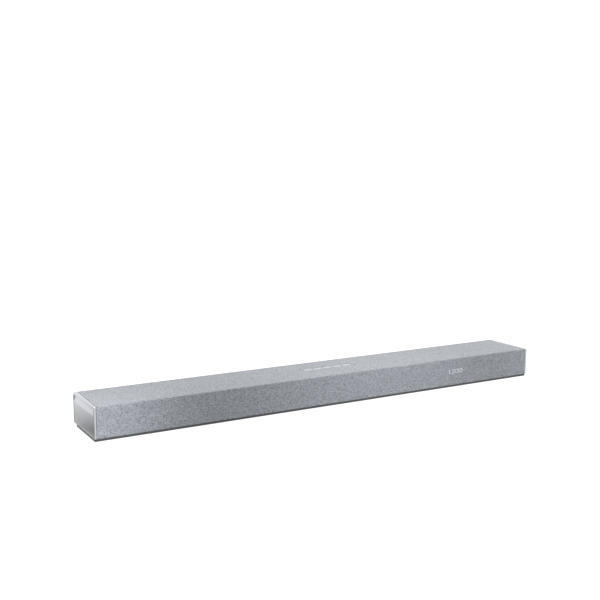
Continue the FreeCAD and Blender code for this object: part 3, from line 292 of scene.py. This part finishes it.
def capsule_distance(x, y, length, width):
    """Signed distance to a capsule about the strip's centre, and the outward direction."""
    straight = (length - width) / 2
    reach = x - STRIP_CENTRE[0]
    along = reach - np.clip(reach, -straight, straight)
    across = y - STRIP_CENTRE[1]
    gap = np.hypot(along, across)
    safe = np.maximum(gap, 1e-9)
    return gap - width / 2, along / safe, across / safe


def make_cloth():
    """The wrap: section points carried along the bar, slid to the slanting ends and the strip's hole."""
    travel = cloth_rows()
    section, outward = wrap_section(travel)
    place = cloth_columns()[:, None]
    across = section[None, :, 0]
    reach = cloth_end(across)
    fixed = place[-1, 0] - END_ZONE
    beyond = np.clip((np.abs(place) - fixed) / END_ZONE, 0, 1)
    x = np.sign(place) * (np.minimum(np.abs(place), fixed) + beyond * (reach - fixed))
    y = np.broadcast_to(across, x.shape).copy()
    z = np.broadcast_to(section[None, :, 1], x.shape).copy()
    on_top = (travel > run_ends[4] - 1e-6) & (travel < run_ends[5] + 1e-6)
    on_top = np.broadcast_to(on_top[None, :], x.shape)
    gap, way_x, way_y = capsule_distance(x, y, STRIP_LENGTH, STRIP_WIDTH)
    middle = (gap[:-1, :-1] + gap[1:, :-1] + gap[1:, 1:] + gap[:-1, 1:]) / 4
    keep = ~((middle < 0) & on_top[:-1, :-1] & on_top[1:, 1:])
    near = on_top & (gap < SLIDE_IN) & (gap > -SLIDE_OUT)
    x = np.where(near, x - gap * way_x, x)
    y = np.where(near, y - gap * way_y, y)
    gap = np.where(near, 0, gap)
    drop = edge_roll(reach - np.abs(x)) + np.where(on_top, edge_roll(np.maximum(gap, 0)), 0)
    points = np.stack([x, y - drop * outward[None, :, 0], z - drop * outward[None, :, 1]], axis=-1)
    cut = np.stack([x, np.broadcast_to(travel[None, :], x.shape)], axis=-1)
    return grid_mesh("cloth_wrap", points, keep=keep, uv=cut)


cloth = make_cloth()
thickness = cloth.modifiers.new("cloth thickness", "SOLIDIFY")
thickness.thickness = CLOTH_THICKNESS
thickness.offset = -1
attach(cloth, "enclosure")
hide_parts("fabric_wrap")
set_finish(cloth, "cloth")

# %% [markdown]
# ## Metal end caps
#
# Each end is closed by a thin metal frame whose rim shows as a bright line round the cloth, wide
# at the back of the top and narrow at the front. It is one profile carried round a rounded
# rectangle: up from the seat under the cloth, over the softened outer edge, across the end face
# and down the inner wall of the recess. Outline points and their outward normals are worked out
# once, and every station of the profile is that outline moved in by some depth.

# %% Rounded outlines
SIDE_STEPS, BEND_STEPS = 16, 10


def rounded_outline(low, high, radii):
    """Points and outward normals of a rounded rectangle, anticlockwise from the low corner's side.

    radii holds the corner radii in the order (low y, low z), (high y, low z), (high y, high z),
    (low y, high z)."""
    corners = [(low[0], low[1]), (high[0], low[1]), (high[0], high[1]), (low[0], high[1])]
    inward = [(1, 1), (-1, 1), (-1, -1), (1, -1)]
    points, normals = [], []
    for index, (corner, turn, radius) in enumerate(zip(corners, inward, radii)):
        centre = np.array(corner) + np.array(turn) * radius
        angle = math.pi + index * math.pi / 2 + np.linspace(0, math.pi / 2, BEND_STEPS + 1)
        normal = np.stack([np.cos(angle), np.sin(angle)], axis=-1)
        bend = centre + radius * normal
        following = (index + 1) % 4
        next_centre = np.array(corners[following]) + np.array(inward[following]) * radii[following]
        next_start = next_centre + radii[following] * normal[-1]
        share = np.linspace(0, 1, SIDE_STEPS + 1)[1:-1, None]
        points += [bend, bend[-1] + (next_start - bend[-1]) * share]
        normals += [normal, np.repeat(normal[-1:], SIDE_STEPS - 1, axis=0)]
    return np.concatenate(points), np.concatenate(normals)


# %% The cap rims
CAP_EDGE = 0.8 * MM
CAP_SEAT = 1.3 * MM
CAP_STEP = 0.2 * MM
CAP_LIP = 0.35 * MM
CAP_TOP_RIM = 4.8 * MM
PLATE_GAP = 0.25 * MM
RECESS = BAR_END - 4 * MM
RECESS_RIM = 3 * MM
RECESS_RADIUS, RIM_RADIUS = 0.6 * MM, 0.3 * MM
inner_low = plate_low[1:] - PLATE_GAP
inner_high = np.array([plate_high[1] + PLATE_GAP, TOP - CAP_TOP_RIM])


def make_cap(name, side):
    """One end cap: the rounded outline carried through the stations of the rim's profile."""
    radii = (SILL_RADIUS, FRONT_RADIUS, REAR_RADIUS, FRONT_RADIUS)
    outer, away = rounded_outline((FRONT, SOLE), (BACK, TOP), radii)
    inner, inner_away = rounded_outline(inner_low, inner_high, (RECESS_RADIUS,) * 4)
    seat = cloth_end(outer[:, 0]) + CLOTH_GAP
    turn = np.linspace(0, math.pi / 2, 7)
    stations = [(np.full(len(outer), cap_low[0]), outer - CAP_SEAT * away),
                (seat - 0.01 * MM, outer - CAP_SEAT * away),
                (seat, outer - CAP_STEP * away), (seat + CAP_STEP, outer)]
    stations += [(np.full(len(outer), BAR_END - CAP_EDGE * (1 - math.sin(angle))),
                  outer - CAP_EDGE * (1 - math.cos(angle)) * away) for angle in turn]
    stations += [(np.full(len(outer), BAR_END - CAP_LIP * (1 - math.cos(angle))),
                  inner + CAP_LIP * (1 - math.sin(angle)) * inner_away) for angle in turn]
    floor_edge, _ = rounded_outline(inner_low + RECESS_RIM, inner_high - RECESS_RIM, (RIM_RADIUS,) * 4)
    stations += [(np.full(len(outer), RECESS), inner), (np.full(len(outer), RECESS), floor_edge),
                 (np.full(len(outer), cap_low[0]), floor_edge), stations[0]]
    points = np.stack([np.concatenate([x[:, None], yz], axis=1) for x, yz in stations], axis=1)
    if side < 0:
        points = points[::-1] * np.array([-1, 1, 1])
    cap = grid_mesh(name, points, closed=True)
    merge_points(cap)
    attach(cap, "enclosure")
    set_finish(cap, "satin_metal")
    return cap


for side_name, side in (("left", -1), ("right", 1)):
    make_cap("cap_" + side_name, side)
    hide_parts("end_cap_" + side_name)

# %% [markdown]
# ## The inset end plates
#
# A flat plate fills each cap. Its upper part leans inwards under the rim, which leaves a thin
# shadow line and turns that band towards the light from above. The plate is a height field: how
# far it stands out is a function of its place across and up, with the lean softened where it
# begins and a small roll all round its border.

# %% The end plates
BAND = 12.5 * MM
LEAN = 2.3 * MM
PLATE_ROLL = 0.5 * MM
BEND_ZONE = 1.5 * MM
PLATE_TOP = plate_high[2] - 0.7 * MM


def plate_reach(y, z):
    """How far the plate stands out.

    Above the band's start it leans in by LEAN / BAND of the climb, softened to
    (climb + sqrt(climb squared + soft squared)) / 2; its border drops by a quarter circle."""
    start = plate_high[2] - BAND
    soft = 0.5 * MM
    climb = z - start
    lean = LEAN / BAND * (climb + np.sqrt(climb ** 2 + soft ** 2)) / 2
    border = np.minimum(np.minimum(y - plate_low[1], plate_high[1] - y),
                        np.minimum(z - plate_low[2], PLATE_TOP - z))
    inside = np.clip(PLATE_ROLL - border, 0, PLATE_ROLL)
    return plate_high[0] - lean - (PLATE_ROLL - np.sqrt(PLATE_ROLL ** 2 - inside ** 2))


def make_plate(name, side):
    """One end plate: a grid of (y, z) places lifted to plate_reach, with a skirt down to the recess."""
    fine = PLATE_ROLL * (1 - np.cos(np.linspace(0, math.pi / 2, 5)))
    flat = stepped(plate_low[1] + PLATE_ROLL, plate_high[1] - PLATE_ROLL, 6 * MM)
    across = np.concatenate([plate_low[1] + fine, flat[1:-1], (plate_high[1] - fine)[::-1]])
    start = plate_high[2] - BAND
    band = stepped(start - BEND_ZONE, start + BEND_ZONE, 0.25 * MM)
    below = stepped(plate_low[2] + PLATE_ROLL, band[0], 4 * MM)
    above = stepped(band[-1], PLATE_TOP - PLATE_ROLL, 2 * MM)
    up = np.concatenate([plate_low[2] + fine, below[1:-1], band, above[1:-1], (PLATE_TOP - fine)[::-1]])
    y, z = np.meshgrid(across, up, indexing="ij")
    x = plate_reach(y, z)
    points = np.pad(np.stack([x, y, z], axis=-1), ((1, 1), (1, 1), (0, 0)), mode="edge")
    for rim in (points[0], points[-1], points[:, 0], points[:, -1]):
        rim[:, 0] = plate_low[0]
    if side < 0:
        points = points[::-1] * np.array([-1, 1, 1])
    plate = grid_mesh(name, points)
    merge_points(plate)
    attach(plate, "enclosure")
    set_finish(plate, "satin_metal")
    return plate


for side_name, side in (("left", -1), ("right", 1)):
    plate = make_plate("plate_" + side_name, side)
    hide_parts("end_plate_" + side_name)
    print("plate", side_name, "faces", len(plate.data.polygons))

# %% [markdown]
# ## Keys in the control strip
#
# The strip on the top holds five flat capsule keys that stand a hair above their surround. A key
# that is worked as a pillow catches a line of light along its rolled edge, where a plain block
# would show none. Its surface is the capsule outline moved inwards ring by ring, while its height
# follows a quarter circle at the edge and then a very slight crown.

# %% The keys
KEY_EDGE = 0.5 * MM
KEY_CROWN = 0.12 * MM
KEY_DEPTH = 1.8 * MM


def capsule_outline(centre, length, width, steps=24):
    """Points and outward normals of a capsule, anticlockwise: two half circles moved apart."""
    straight = (length - width) / 2
    quarter = math.pi / 2
    angle = np.concatenate([np.linspace(-quarter, quarter, steps), np.linspace(quarter, 3 * quarter, steps)])
    normal = np.stack([np.cos(angle), np.sin(angle)], axis=-1)
    shift = np.where(np.arange(len(angle)) < steps, straight, -straight)
    points = np.array(centre) + normal * width / 2
    points[:, 0] += shift
    return points, normal


def make_key(name, node):
    """A pillow-topped capsule inside the CAD key's box, with a plain stem below.

    The edge is a quarter circle of radius KEY_EDGE; from it the top climbs by
    KEY_CROWN * (1 - (1 - middle) squared), with middle running from 0 at the edge to 1 at the ridge."""
    low, high = (np.array(corner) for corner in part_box(node))
    centre = (low[:2] + high[:2]) / 2
    length, width = high[0] - low[0], high[1] - low[1]
    outline, away = capsule_outline(centre, length, width)
    turn = np.linspace(0, math.pi / 2, 6)
    rim_top = high[2] - KEY_CROWN
    crown = np.linspace(KEY_EDGE, width / 2, 7)[1:]
    inset = np.concatenate([[width / 2, 0], KEY_EDGE * (1 - np.cos(turn)), crown])
    middle = np.clip((crown - KEY_EDGE) / (width / 2 - KEY_EDGE), 0, 1)
    height = np.concatenate([[high[2] - KEY_DEPTH] * 2, rim_top - KEY_EDGE * (1 - np.sin(turn)),
                             rim_top + KEY_CROWN * (1 - (1 - middle) ** 2)])
    flat = outline[:, None, :] - inset[None, :, None] * away[:, None, :]
    points = np.concatenate([flat, np.broadcast_to(height[None, :, None], (*flat.shape[:2], 1))], axis=-1)
    key = grid_mesh(name, points, closed=True)
    merge_points(key)
    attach(key, frame["nodes"][node]["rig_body"])
    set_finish(key, "key_plastic")
    return key


KEYS = ("power", "source", "volume_down", "volume_up", "mute")
for word in KEYS:
    key = make_key("key_top_" + word, "button_" + word)
    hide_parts("button_" + word)
print("keys", len(KEYS), "faces each", len(key.data.polygons))

# %% [markdown]
# ## Lit figures behind the cloth
#
# The display shines through the weave as rows of small soft dots. Each figure is a pattern of five
# columns by seven rows, written below as text, and every filled place becomes one shallow dome that
# stands a few hundredths of a millimetre in front of the cloth. All domes are one array: a ring of
# directions times a list of ring sizes, shifted to every lit place at once.

# %% Patterns of the figures
FIGURES = {
    "1": ("..#..", ".##..", "..#..", "..#..", "..#..", "..#..", ".###."),
    "2": (".###.", "#...#", "....#", "...#.", "..#..", ".#...", "#####"),
    ":": (".", "#", "#", ".", "#", "#", "."),
    "3": ("####.", "....#", "....#", ".###.", "....#", "....#", "####."),
    "0": (".###.", "#...#", "#...#", "#...#", "#...#", "#...#", ".###."),
}
ROWS = 7
SHOWN = "12:30"
DOT_PITCH = 1.62 * MM
ROW_PITCH = 1.35 * MM
FIGURE_SHIFT = -6.0 * MM
DOT_RADIUS = 0.64 * MM
DOT_RISE = 0.04 * MM
DOT_BASE = 0.01 * MM


def lit_places(text):
    """Column and row of each lit dot of a text, rows counted down from the top."""
    columns = ["".join(line) for line in zip(*(".".join(FIGURES[letter][row] for letter in text)
                                               for row in range(ROWS)))]
    filled = np.array([[mark == "#" for mark in column] for column in columns])
    return np.argwhere(filled), len(columns)


# %% The lit dots
def make_figures(text):
    """Shallow domes at every lit place: ring directions by ring radii, lifted by 1 - (r / R) squared."""
    places, width = lit_places(text)
    middle_row = (ROWS - 1) / 2
    centre = (window_low + window_high) / 2
    x = centre[0] + FIGURE_SHIFT + (places[:, 0] - (width - 1) / 2) * DOT_PITCH
    z = centre[2] - (places[:, 1] - middle_row) * ROW_PITCH
    angle = np.linspace(0, 2 * math.pi, 12, endpoint=False)
    share = np.array([1.0, 0.7, 0.35, 0.0])
    ring_x = DOT_RADIUS * np.cos(angle)[:, None] * share
    ring_z = DOT_RADIUS * np.sin(angle)[:, None] * share
    lift = np.broadcast_to(DOT_RISE * (1 - share ** 2), ring_x.shape)
    depth = np.broadcast_to(FRONT - DOT_BASE - lift, (len(x), *lift.shape))
    points = np.stack([x[:, None, None] + ring_x, depth, z[:, None, None] + ring_z], axis=-1)
    block = points.shape[1] * points.shape[2]
    index = np.arange(block).reshape(points.shape[1:3])
    ahead = np.roll(index, -1, axis=0)
    faces = np.stack([index[:, :-1], ahead[:, :-1], ahead[:, 1:], index[:, 1:]], axis=-1).reshape(-1, 4)
    faces = (faces[None] + np.arange(len(x))[:, None, None] * block).reshape(-1, 4)
    mesh = bpy.data.meshes.new("display_figures")
    mesh.from_pydata(points.reshape(-1, 3), [], faces.tolist())
    mesh.update()
    piece = bpy.data.objects.new("display_figures", mesh)
    bpy.context.scene.collection.objects.link(piece)
    merge_points(piece)
    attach(piece, "enclosure")
    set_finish(piece, "smoked_lens")
    return piece


figures = make_figures(SHOWN)
print("figure faces", len(figures.data.polygons), "width in mm", round(figures.dimensions[0] / MM, 1))

# %% [markdown]
# ## Materials
#
# Every finish is a small network of nodes: a shader with its own colour, roughness and metal
# value, plus noise that varies roughness or height a little, so that no surface is perfectly even.
# The noise reads each object's own coordinates in metres, so its grain has a real size: a scale
# of 1000 gives grains about a millimetre wide.

# %% A finish from a few numbers
ROUGHNESS_SPREAD = 0.06


def start_material(name):
    """A material with a shader and output only; returns it with its nodes, its links and the shader."""
    material = bpy.data.materials.new(name)
    material.use_nodes = True
    nodes, links = material.node_tree.nodes, material.node_tree.links
    nodes.clear()
    shader = nodes.new("ShaderNodeBsdfPrincipled")
    output = nodes.new("ShaderNodeOutputMaterial")
    links.new(shader.outputs["BSDF"], output.inputs["Surface"])
    return material, nodes, links, shader


def noise(nodes, links, scale, detail=2.0, vector=None):
    """A noise texture of a real size, read in object coordinates unless another vector is given."""
    texture = nodes.new("ShaderNodeTexNoise")
    texture.inputs["Scale"].default_value = scale
    texture.inputs["Detail"].default_value = detail
    if vector is None:
        vector = nodes.new("ShaderNodeTexCoord").outputs["Object"]
    links.new(vector, texture.inputs["Vector"])
    return texture.outputs["Fac"]


def ranged(nodes, links, value, low, high):
    """A value from 0.25..0.75, where noise mostly lies, spread over low..high."""
    spread = nodes.new("ShaderNodeMapRange")
    spread.inputs["From Min"].default_value = 0.25
    spread.inputs["From Max"].default_value = 0.75
    spread.inputs["To Min"].default_value = low
    spread.inputs["To Max"].default_value = high
    links.new(value, spread.inputs["Value"])
    return spread.outputs["Result"]


def bumped(nodes, links, height, distance, strength=1.0):
    """A bump of a real height in metres."""
    bump = nodes.new("ShaderNodeBump")
    bump.inputs["Distance"].default_value = distance
    bump.inputs["Strength"].default_value = strength
    links.new(height, bump.inputs["Height"])
    return bump.outputs["Normal"]


def grained(name, colour, metallic, roughness, grain, height):
    """A plain finish: colour and metal value on the shader, noise of one grain for roughness and bump."""
    material, nodes, links, shader = start_material(name)
    shader.inputs["Base Color"].default_value = (*colour, 1.0)
    shader.inputs["Metallic"].default_value = metallic
    field = noise(nodes, links, grain)
    varied = ranged(nodes, links, field, roughness - ROUGHNESS_SPREAD, roughness + ROUGHNESS_SPREAD)
    links.new(varied, shader.inputs["Roughness"])
    links.new(bumped(nodes, links, field, height), shader.inputs["Normal"])
    return material


# %% [markdown]
# ## The weave
#
# The cloth is a plain weave of grey mixed yarn. Its pattern is worked out from distances along the
# cloth, so the threads keep their width round every bend. Threads run both ways; where they cross,
# one rises over the other, which is the product of two half waves. Each thread's shade changes
# along its length in short streaks, and the streaks are what the eye sees from a few metres away.
# Each thread starts its streaks at a random place of its own, so that they never form a grid.

# %% The cloth's finish
THREAD = 0.9 * MM
THREAD_RISE = 0.12 * MM
STREAK = 3.2 * MM
CLOUD_GRAIN, PATCH_GRAIN = 160.0, 620.0
# The last weight mixes the thread crossings into the colour: the gaps between threads come out darker, which
# is painted shade.
SHADE_WEIGHTS = (0.27, 0.18, 0.46, 0.06, 0.26)
DARK_YARN, LIGHT_YARN = (0.071, 0.075, 0.084, 1.0), (0.208, 0.219, 0.239, 1.0)
DARK_FROM, LIGHT_FROM = 0.36, 0.77


def worked(nodes, links, operation, first, second=None):
    """One step of arithmetic on a value; the second term is a number or another value."""
    step = nodes.new("ShaderNodeMath")
    step.operation = operation
    links.new(first, step.inputs[0])
    if isinstance(second, float):
        step.inputs[1].default_value = second
    elif second is not None:
        links.new(second, step.inputs[1])
    return step.outputs[0]


def streaks(nodes, links, along, across, layer):
    """A random shade per short length of thread, from the distances along and across the threads.

    The thread's number is across / THREAD rounded down. Each thread has a random start of its own, so
    the lengths of neighbouring threads don't line up. layer sets one set of threads apart from another."""
    thread = worked(nodes, links, "FLOOR", worked(nodes, links, "DIVIDE", across, THREAD))
    start = nodes.new("ShaderNodeTexWhiteNoise")
    start.noise_dimensions = "1D"
    links.new(thread, start.inputs["W"])
    steps = worked(nodes, links, "DIVIDE", along, STREAK)
    place = worked(nodes, links, "ADD", steps, start.outputs["Value"])
    cell = nodes.new("ShaderNodeCombineXYZ")
    links.new(worked(nodes, links, "FLOOR", place), cell.inputs["X"])
    links.new(thread, cell.inputs["Y"])
    cell.inputs["Z"].default_value = layer
    shade = nodes.new("ShaderNodeTexWhiteNoise")
    shade.noise_dimensions = "3D"
    links.new(cell.outputs[0], shade.inputs["Vector"])
    return shade.outputs["Value"]


def thread_wave(nodes, links, value, width):
    """A row of rounded ridges: the absolute value of sine over a thread's width."""
    turn = worked(nodes, links, "DIVIDE", value, width / math.pi)
    return worked(nodes, links, "ABSOLUTE", worked(nodes, links, "SINE", turn))


def weighted_sum(nodes, links, values, weights):
    """A weighted sum of values: each times its own weight, added in turn."""
    total = None
    for value, weight in zip(values, weights):
        term = nodes.new("ShaderNodeMath")
        term.operation = "MULTIPLY_ADD"
        term.inputs[1].default_value = weight
        term.inputs[2].default_value = 0.0
        links.new(value, term.inputs[0])
        if total is not None:
            links.new(total, term.inputs[2])
        total = term.outputs[0]
    return total


def woven(name):
    """Grey mixed yarn: streaks along both threads, broad clouds, bumps where threads cross, and painted
    shade that darkens the gaps between threads.
    """
    material, nodes, links, shader = start_material(name)
    surface = nodes.new("ShaderNodeUVMap")
    surface.uv_map = "surface"
    parts = nodes.new("ShaderNodeSeparateXYZ")
    links.new(surface.outputs["UV"], parts.inputs[0])
    weft = thread_wave(nodes, links, parts.outputs["Y"], THREAD)
    warp = thread_wave(nodes, links, parts.outputs["X"], THREAD)
    crossing = worked(nodes, links, "MULTIPLY", weft, warp)
    clouds = noise(nodes, links, CLOUD_GRAIN, 2.0, surface.outputs["UV"])
    patches = noise(nodes, links, PATCH_GRAIN, 1.0, surface.outputs["UV"])
    along, across = parts.outputs["X"], parts.outputs["Y"]
    shades = (streaks(nodes, links, along, across, 0.0), streaks(nodes, links, across, along, 1.0),
              patches, clouds, crossing)
    shade = weighted_sum(nodes, links, shades, SHADE_WEIGHTS)
    ramp = nodes.new("ShaderNodeValToRGB")
    ramp.color_ramp.elements[0].position = DARK_FROM
    ramp.color_ramp.elements[0].color = DARK_YARN
    ramp.color_ramp.elements[1].position = LIGHT_FROM
    ramp.color_ramp.elements[1].color = LIGHT_YARN
    links.new(shade, ramp.inputs["Fac"])
    links.new(ramp.outputs["Color"], shader.inputs["Base Color"])
    shader.inputs["Roughness"].default_value = 0.9
    shader.inputs["Specular IOR Level"].default_value = 0.2
    shader.inputs["Sheen Weight"].default_value = 0.12
    shader.inputs["Sheen Roughness"].default_value = 0.5
    links.new(bumped(nodes, links, crossing, THREAD_RISE, 0.6), shader.inputs["Normal"])
    return material


# %% [markdown]
# ## Finishes for every part
#
# Each part takes its finish from one named slot of the record. The table below lists, for every
# slot, a colour in linear light, a metal value, a roughness, the size of the grain and its height.
# Parts that nobody sees from outside get a finish too, because a library part may be opened.

# %% Table of finishes
FINISHES = {
    "satin_metal": ((0.41, 0.415, 0.44), 0.90, 0.36, 700.0, 0.004 * MM),
    "plinth_plastic": ((0.026, 0.027, 0.029), 0.0, 0.55, 900.0, 0.03 * MM),
    "rear_plastic": ((0.030, 0.030, 0.033), 0.0, 0.58, 1100.0, 0.04 * MM),
    "black_plastic": ((0.022, 0.022, 0.024), 0.0, 0.50, 900.0, 0.03 * MM),
    "strip_plastic": ((0.14, 0.144, 0.156), 0.0, 0.60, 1500.0, 0.01 * MM),
    "key_plastic": ((0.19, 0.20, 0.225), 0.0, 0.18, 1500.0, 0.006 * MM),
    "black_rubber": ((0.018, 0.018, 0.019), 0.0, 0.80, 1200.0, 0.03 * MM),
    "screw_steel": ((0.42, 0.42, 0.44), 1.0, 0.32, 2500.0, 0.006 * MM),
    "insert_brass": ((0.72, 0.52, 0.24), 1.0, 0.34, 2500.0, 0.006 * MM),
    "circuit_board": ((0.020, 0.105, 0.045), 0.0, 0.42, 900.0, 0.01 * MM),
    "smoked_lens": ((0.030, 0.030, 0.034), 0.0, 0.18, 900.0, 0.002 * MM),
    "transformer_iron": ((0.20, 0.19, 0.18), 0.8, 0.52, 900.0, 0.02 * MM),
    "capacitor_sleeve": ((0.022, 0.030, 0.085), 0.0, 0.36, 900.0, 0.006 * MM),
    "sink_aluminium": ((0.55, 0.56, 0.57), 1.0, 0.40, 1500.0, 0.01 * MM),
    "shield_steel": ((0.58, 0.58, 0.57), 1.0, 0.30, 1500.0, 0.006 * MM),
    "socket_plastic": ((0.035, 0.035, 0.037), 0.0, 0.40, 1500.0, 0.01 * MM),
    "basket_steel": ((0.060, 0.060, 0.064), 0.4, 0.48, 1100.0, 0.02 * MM),
    "magnet_steel": ((0.34, 0.34, 0.35), 1.0, 0.36, 1500.0, 0.01 * MM),
    "cone_paper": ((0.048, 0.047, 0.046), 0.0, 0.78, 1500.0, 0.05 * MM),
    "dome_silk": ((0.030, 0.029, 0.031), 0.0, 0.62, 2500.0, 0.02 * MM),
}
materials = {slot: grained(slot, *numbers) for slot, numbers in FINISHES.items()}
materials["cloth"] = woven("cloth")

# %% Light of the figures
FIGURE_GREY = (0.22, 0.23, 0.25)
FIGURE_GLOW = 1.9
FIGURE_UNEVENNESS = 0.35


def glowing(name, colour, strength, unevenness):
    """Dots that glow through the weave: emission over a pale base, uneven as threads lie in front."""
    material, nodes, links, shader = start_material(name)
    field = noise(nodes, links, 1400.0, 1.0)
    shader.inputs["Base Color"].default_value = (*colour, 1.0)
    shader.inputs["Roughness"].default_value = 0.6
    shader.inputs["Emission Color"].default_value = (*colour, 1.0)
    links.new(ranged(nodes, links, field, strength * (1 - unevenness), strength * (1 + unevenness)),
              shader.inputs["Emission Strength"])
    return material


materials["figures"] = glowing("figures", FIGURE_GREY, FIGURE_GLOW, FIGURE_UNEVENNESS)

# %% Dress every piece
def dress(piece, material):
    """Give a mesh one material, used by all its faces."""
    piece.data.materials.clear()
    piece.data.materials.append(material)


slot_of_node = {part["node"]: part["material_slot"] for part in frame["record"]["subparts"]}
for node, solid in frame["nodes"].items():
    dress(solid, materials[slot_of_node[node]])
new_pieces = [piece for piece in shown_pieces() if "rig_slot" in piece]
for piece in new_pieces:
    dress(piece, materials["figures" if piece == figures else piece["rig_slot"]])
print("materials", len(materials), "new pieces", len(new_pieces))

# %% [markdown]
# ## Floor, light and camera
#
# The bar stands on a plain pale floor in an even white room. The floor glows a little of its own
# accord, like a light table, so that it stays white right up to the dark base. One large soft light
# hangs overhead, so the top reads about one stop lighter than the front. Small soft lights in front
# lift the near end, the middle and the far end, and are left out of reflections so that the metal
# shows no glints. A graded card beside the near end is seen only by reflections: brushed metal shows
# its surroundings, and the card's painted reflection, darker towards the front, gives the end plate
# its soft gradient. The camera stands left of the bar, a little above it, and keeps its verticals
# almost upright.

# %% Floor
FLOOR_SIZE = 4.6
FLOOR_GREY = (0.12, 0.12, 0.12)
FLOOR_GLOW = 0.93


def lay_floor(size, height):
    """A square floor of one face, lit from below like a light table, with a faint noise in its finish."""
    square = np.array([(-1, -1, 0), (1, -1, 0), (1, 1, 0), (-1, 1, 0)])
    corners = square * size / 2 + np.array([0, 0, height])
    mesh = bpy.data.meshes.new("floor")
    mesh.from_pydata(corners.tolist(), [], [(0, 1, 2, 3)])
    floor = bpy.data.objects.new("floor", mesh)
    bpy.context.scene.collection.objects.link(floor)
    finish = grained("floor", FLOOR_GREY, 0.0, 0.9, 60.0, 0.05 * MM)
    table = finish.node_tree.nodes["Principled BSDF"]
    table.inputs["Emission Color"].default_value = (1.0, 1.0, 1.0, 1.0)
    table.inputs["Emission Strength"].default_value = FLOOR_GLOW
    dress(floor, finish)


lay_floor(FLOOR_SIZE, cad_box[0][2])

# %% Lights
ROOM_LIGHT = 1.34


def soft_light(name, place, target, size, power, spread=180.0, glossy=True):
    """A rectangular soft light at a place, facing a target; spread in degrees narrows its beam.

    Without glossy the light is left out of reflections, so that it makes no glint on metal."""
    data = bpy.data.lights.new(name, "AREA")
    data.shape = "RECTANGLE"
    data.size, data.size_y = size
    data.energy = power
    data.spread = math.radians(spread)
    light = bpy.data.objects.new(name, data)
    light.location = place
    way = Vector(target) - Vector(place)
    light.rotation_euler = way.to_track_quat("-Z", "Y").to_euler()
    light.visible_glossy = glossy
    bpy.context.scene.collection.objects.link(light)


world = bpy.data.worlds.new("white room")
world.use_nodes = True
world.node_tree.nodes["Background"].inputs["Color"].default_value = (1.0, 1.0, 1.0, 1.0)
world.node_tree.nodes["Background"].inputs["Strength"].default_value = ROOM_LIGHT
bpy.context.scene.world = world
soft_light("overhead", place=(0.0, 0.5, 3.2), target=(0.0, 0.5, 0.0), size=(5.0, 1.2), power=130.0)
soft_light("near end", place=(-0.53, -0.44, 0.22), target=(-0.53, -0.06, 0.03), size=(0.14, 0.14),
           power=0.29, spread=55.0, glossy=False)
soft_light("middle", place=(0.13, -0.78, 0.32), target=(0.13, -0.06, 0.03), size=(0.40, 0.16),
           power=0.72, spread=60.0, glossy=False)
soft_light("far end", place=(0.60, -0.46, 0.26), target=(0.60, -0.06, 0.03), size=(0.12, 0.16),
           power=0.14, spread=50.0, glossy=False)

bpy.context.scene.view_settings.view_transform = "Standard"

# %% A graded card beside the near end, seen only in glossy reflections, where it paints a darker reflection towards the front
def painted_reflection_finish(name, stops, low, high):
    """A matt grey that changes along object y, used as painted reflection. Stops pair a place with a grey:
    both ends first.
    """
    material, nodes, links, shader = start_material(name)
    place = nodes.new("ShaderNodeSeparateXYZ")
    links.new(nodes.new("ShaderNodeTexCoord").outputs["Object"], place.inputs[0])
    share = nodes.new("ShaderNodeMapRange")
    share.inputs["From Min"].default_value = low
    share.inputs["From Max"].default_value = high
    links.new(place.outputs["Y"], share.inputs["Value"])
    ramp = nodes.new("ShaderNodeValToRGB")
    colours = ramp.color_ramp.elements
    for index, (where, grey) in enumerate(stops):
        stop = colours[index] if index < 2 else colours.new(0.5)
        stop.position = (where - low) / (high - low)
        stop.color = (grey, grey, grey, 1.0)
    links.new(share.outputs["Result"], ramp.inputs["Fac"])
    links.new(ramp.outputs["Color"], shader.inputs["Base Color"])
    shader.inputs["Roughness"].default_value = 0.9
    return material


def lay_card(low, high, height, finish):
    """A flat card lying beside the bar, whose grey paints shade into the reflection in the metal. It is not
    seen itself.
    """
    corners = [(low[0], low[1], height), (high[0], low[1], height), (high[0], high[1], height),
               (low[0], high[1], height)]
    mesh = bpy.data.meshes.new("graded_card")
    mesh.from_pydata(corners, [], [(0, 1, 2, 3)])
    card = bpy.data.objects.new("graded_card", mesh)
    bpy.context.scene.collection.objects.link(card)
    dress(card, finish)
    card.visible_camera = False
    card.visible_diffuse = False
    card.visible_shadow = False


# Painted reflection: the card's grey runs from nearly black at its front to pale at its rear, so the near
# end plate reflects darker towards its front.
CARD_FRONT, CARD_REAR = -0.05, 0.60
CARD_STOPS = ((CARD_FRONT, 0.03), (CARD_REAR, 0.78), (0.0, 0.05), (0.05, 0.16), (0.10, 0.29), (0.20, 0.49),
              (0.28, 0.70))
CARD_LOW, CARD_HIGH = (-1.1, -0.16), (-0.53, 0.9)
CARD_LIFT = 0.5 * MM
lay_card(CARD_LOW, CARD_HIGH, cad_box[0][2] + CARD_LIFT,
         painted_reflection_finish("graded card", CARD_STOPS, CARD_FRONT, CARD_REAR))

# %% Camera
camera_data = bpy.data.cameras.new("camera")
camera_data.lens = 55.26
camera_data.sensor_width = 36.0
camera = bpy.data.objects.new("camera", camera_data)
camera.location = (-1.0118, -1.6204, 0.5198)
camera.rotation_euler = (math.radians(80.813), math.radians(-0.436), math.radians(-30.348))
bpy.context.scene.collection.objects.link(camera)
bpy.context.scene.camera = camera
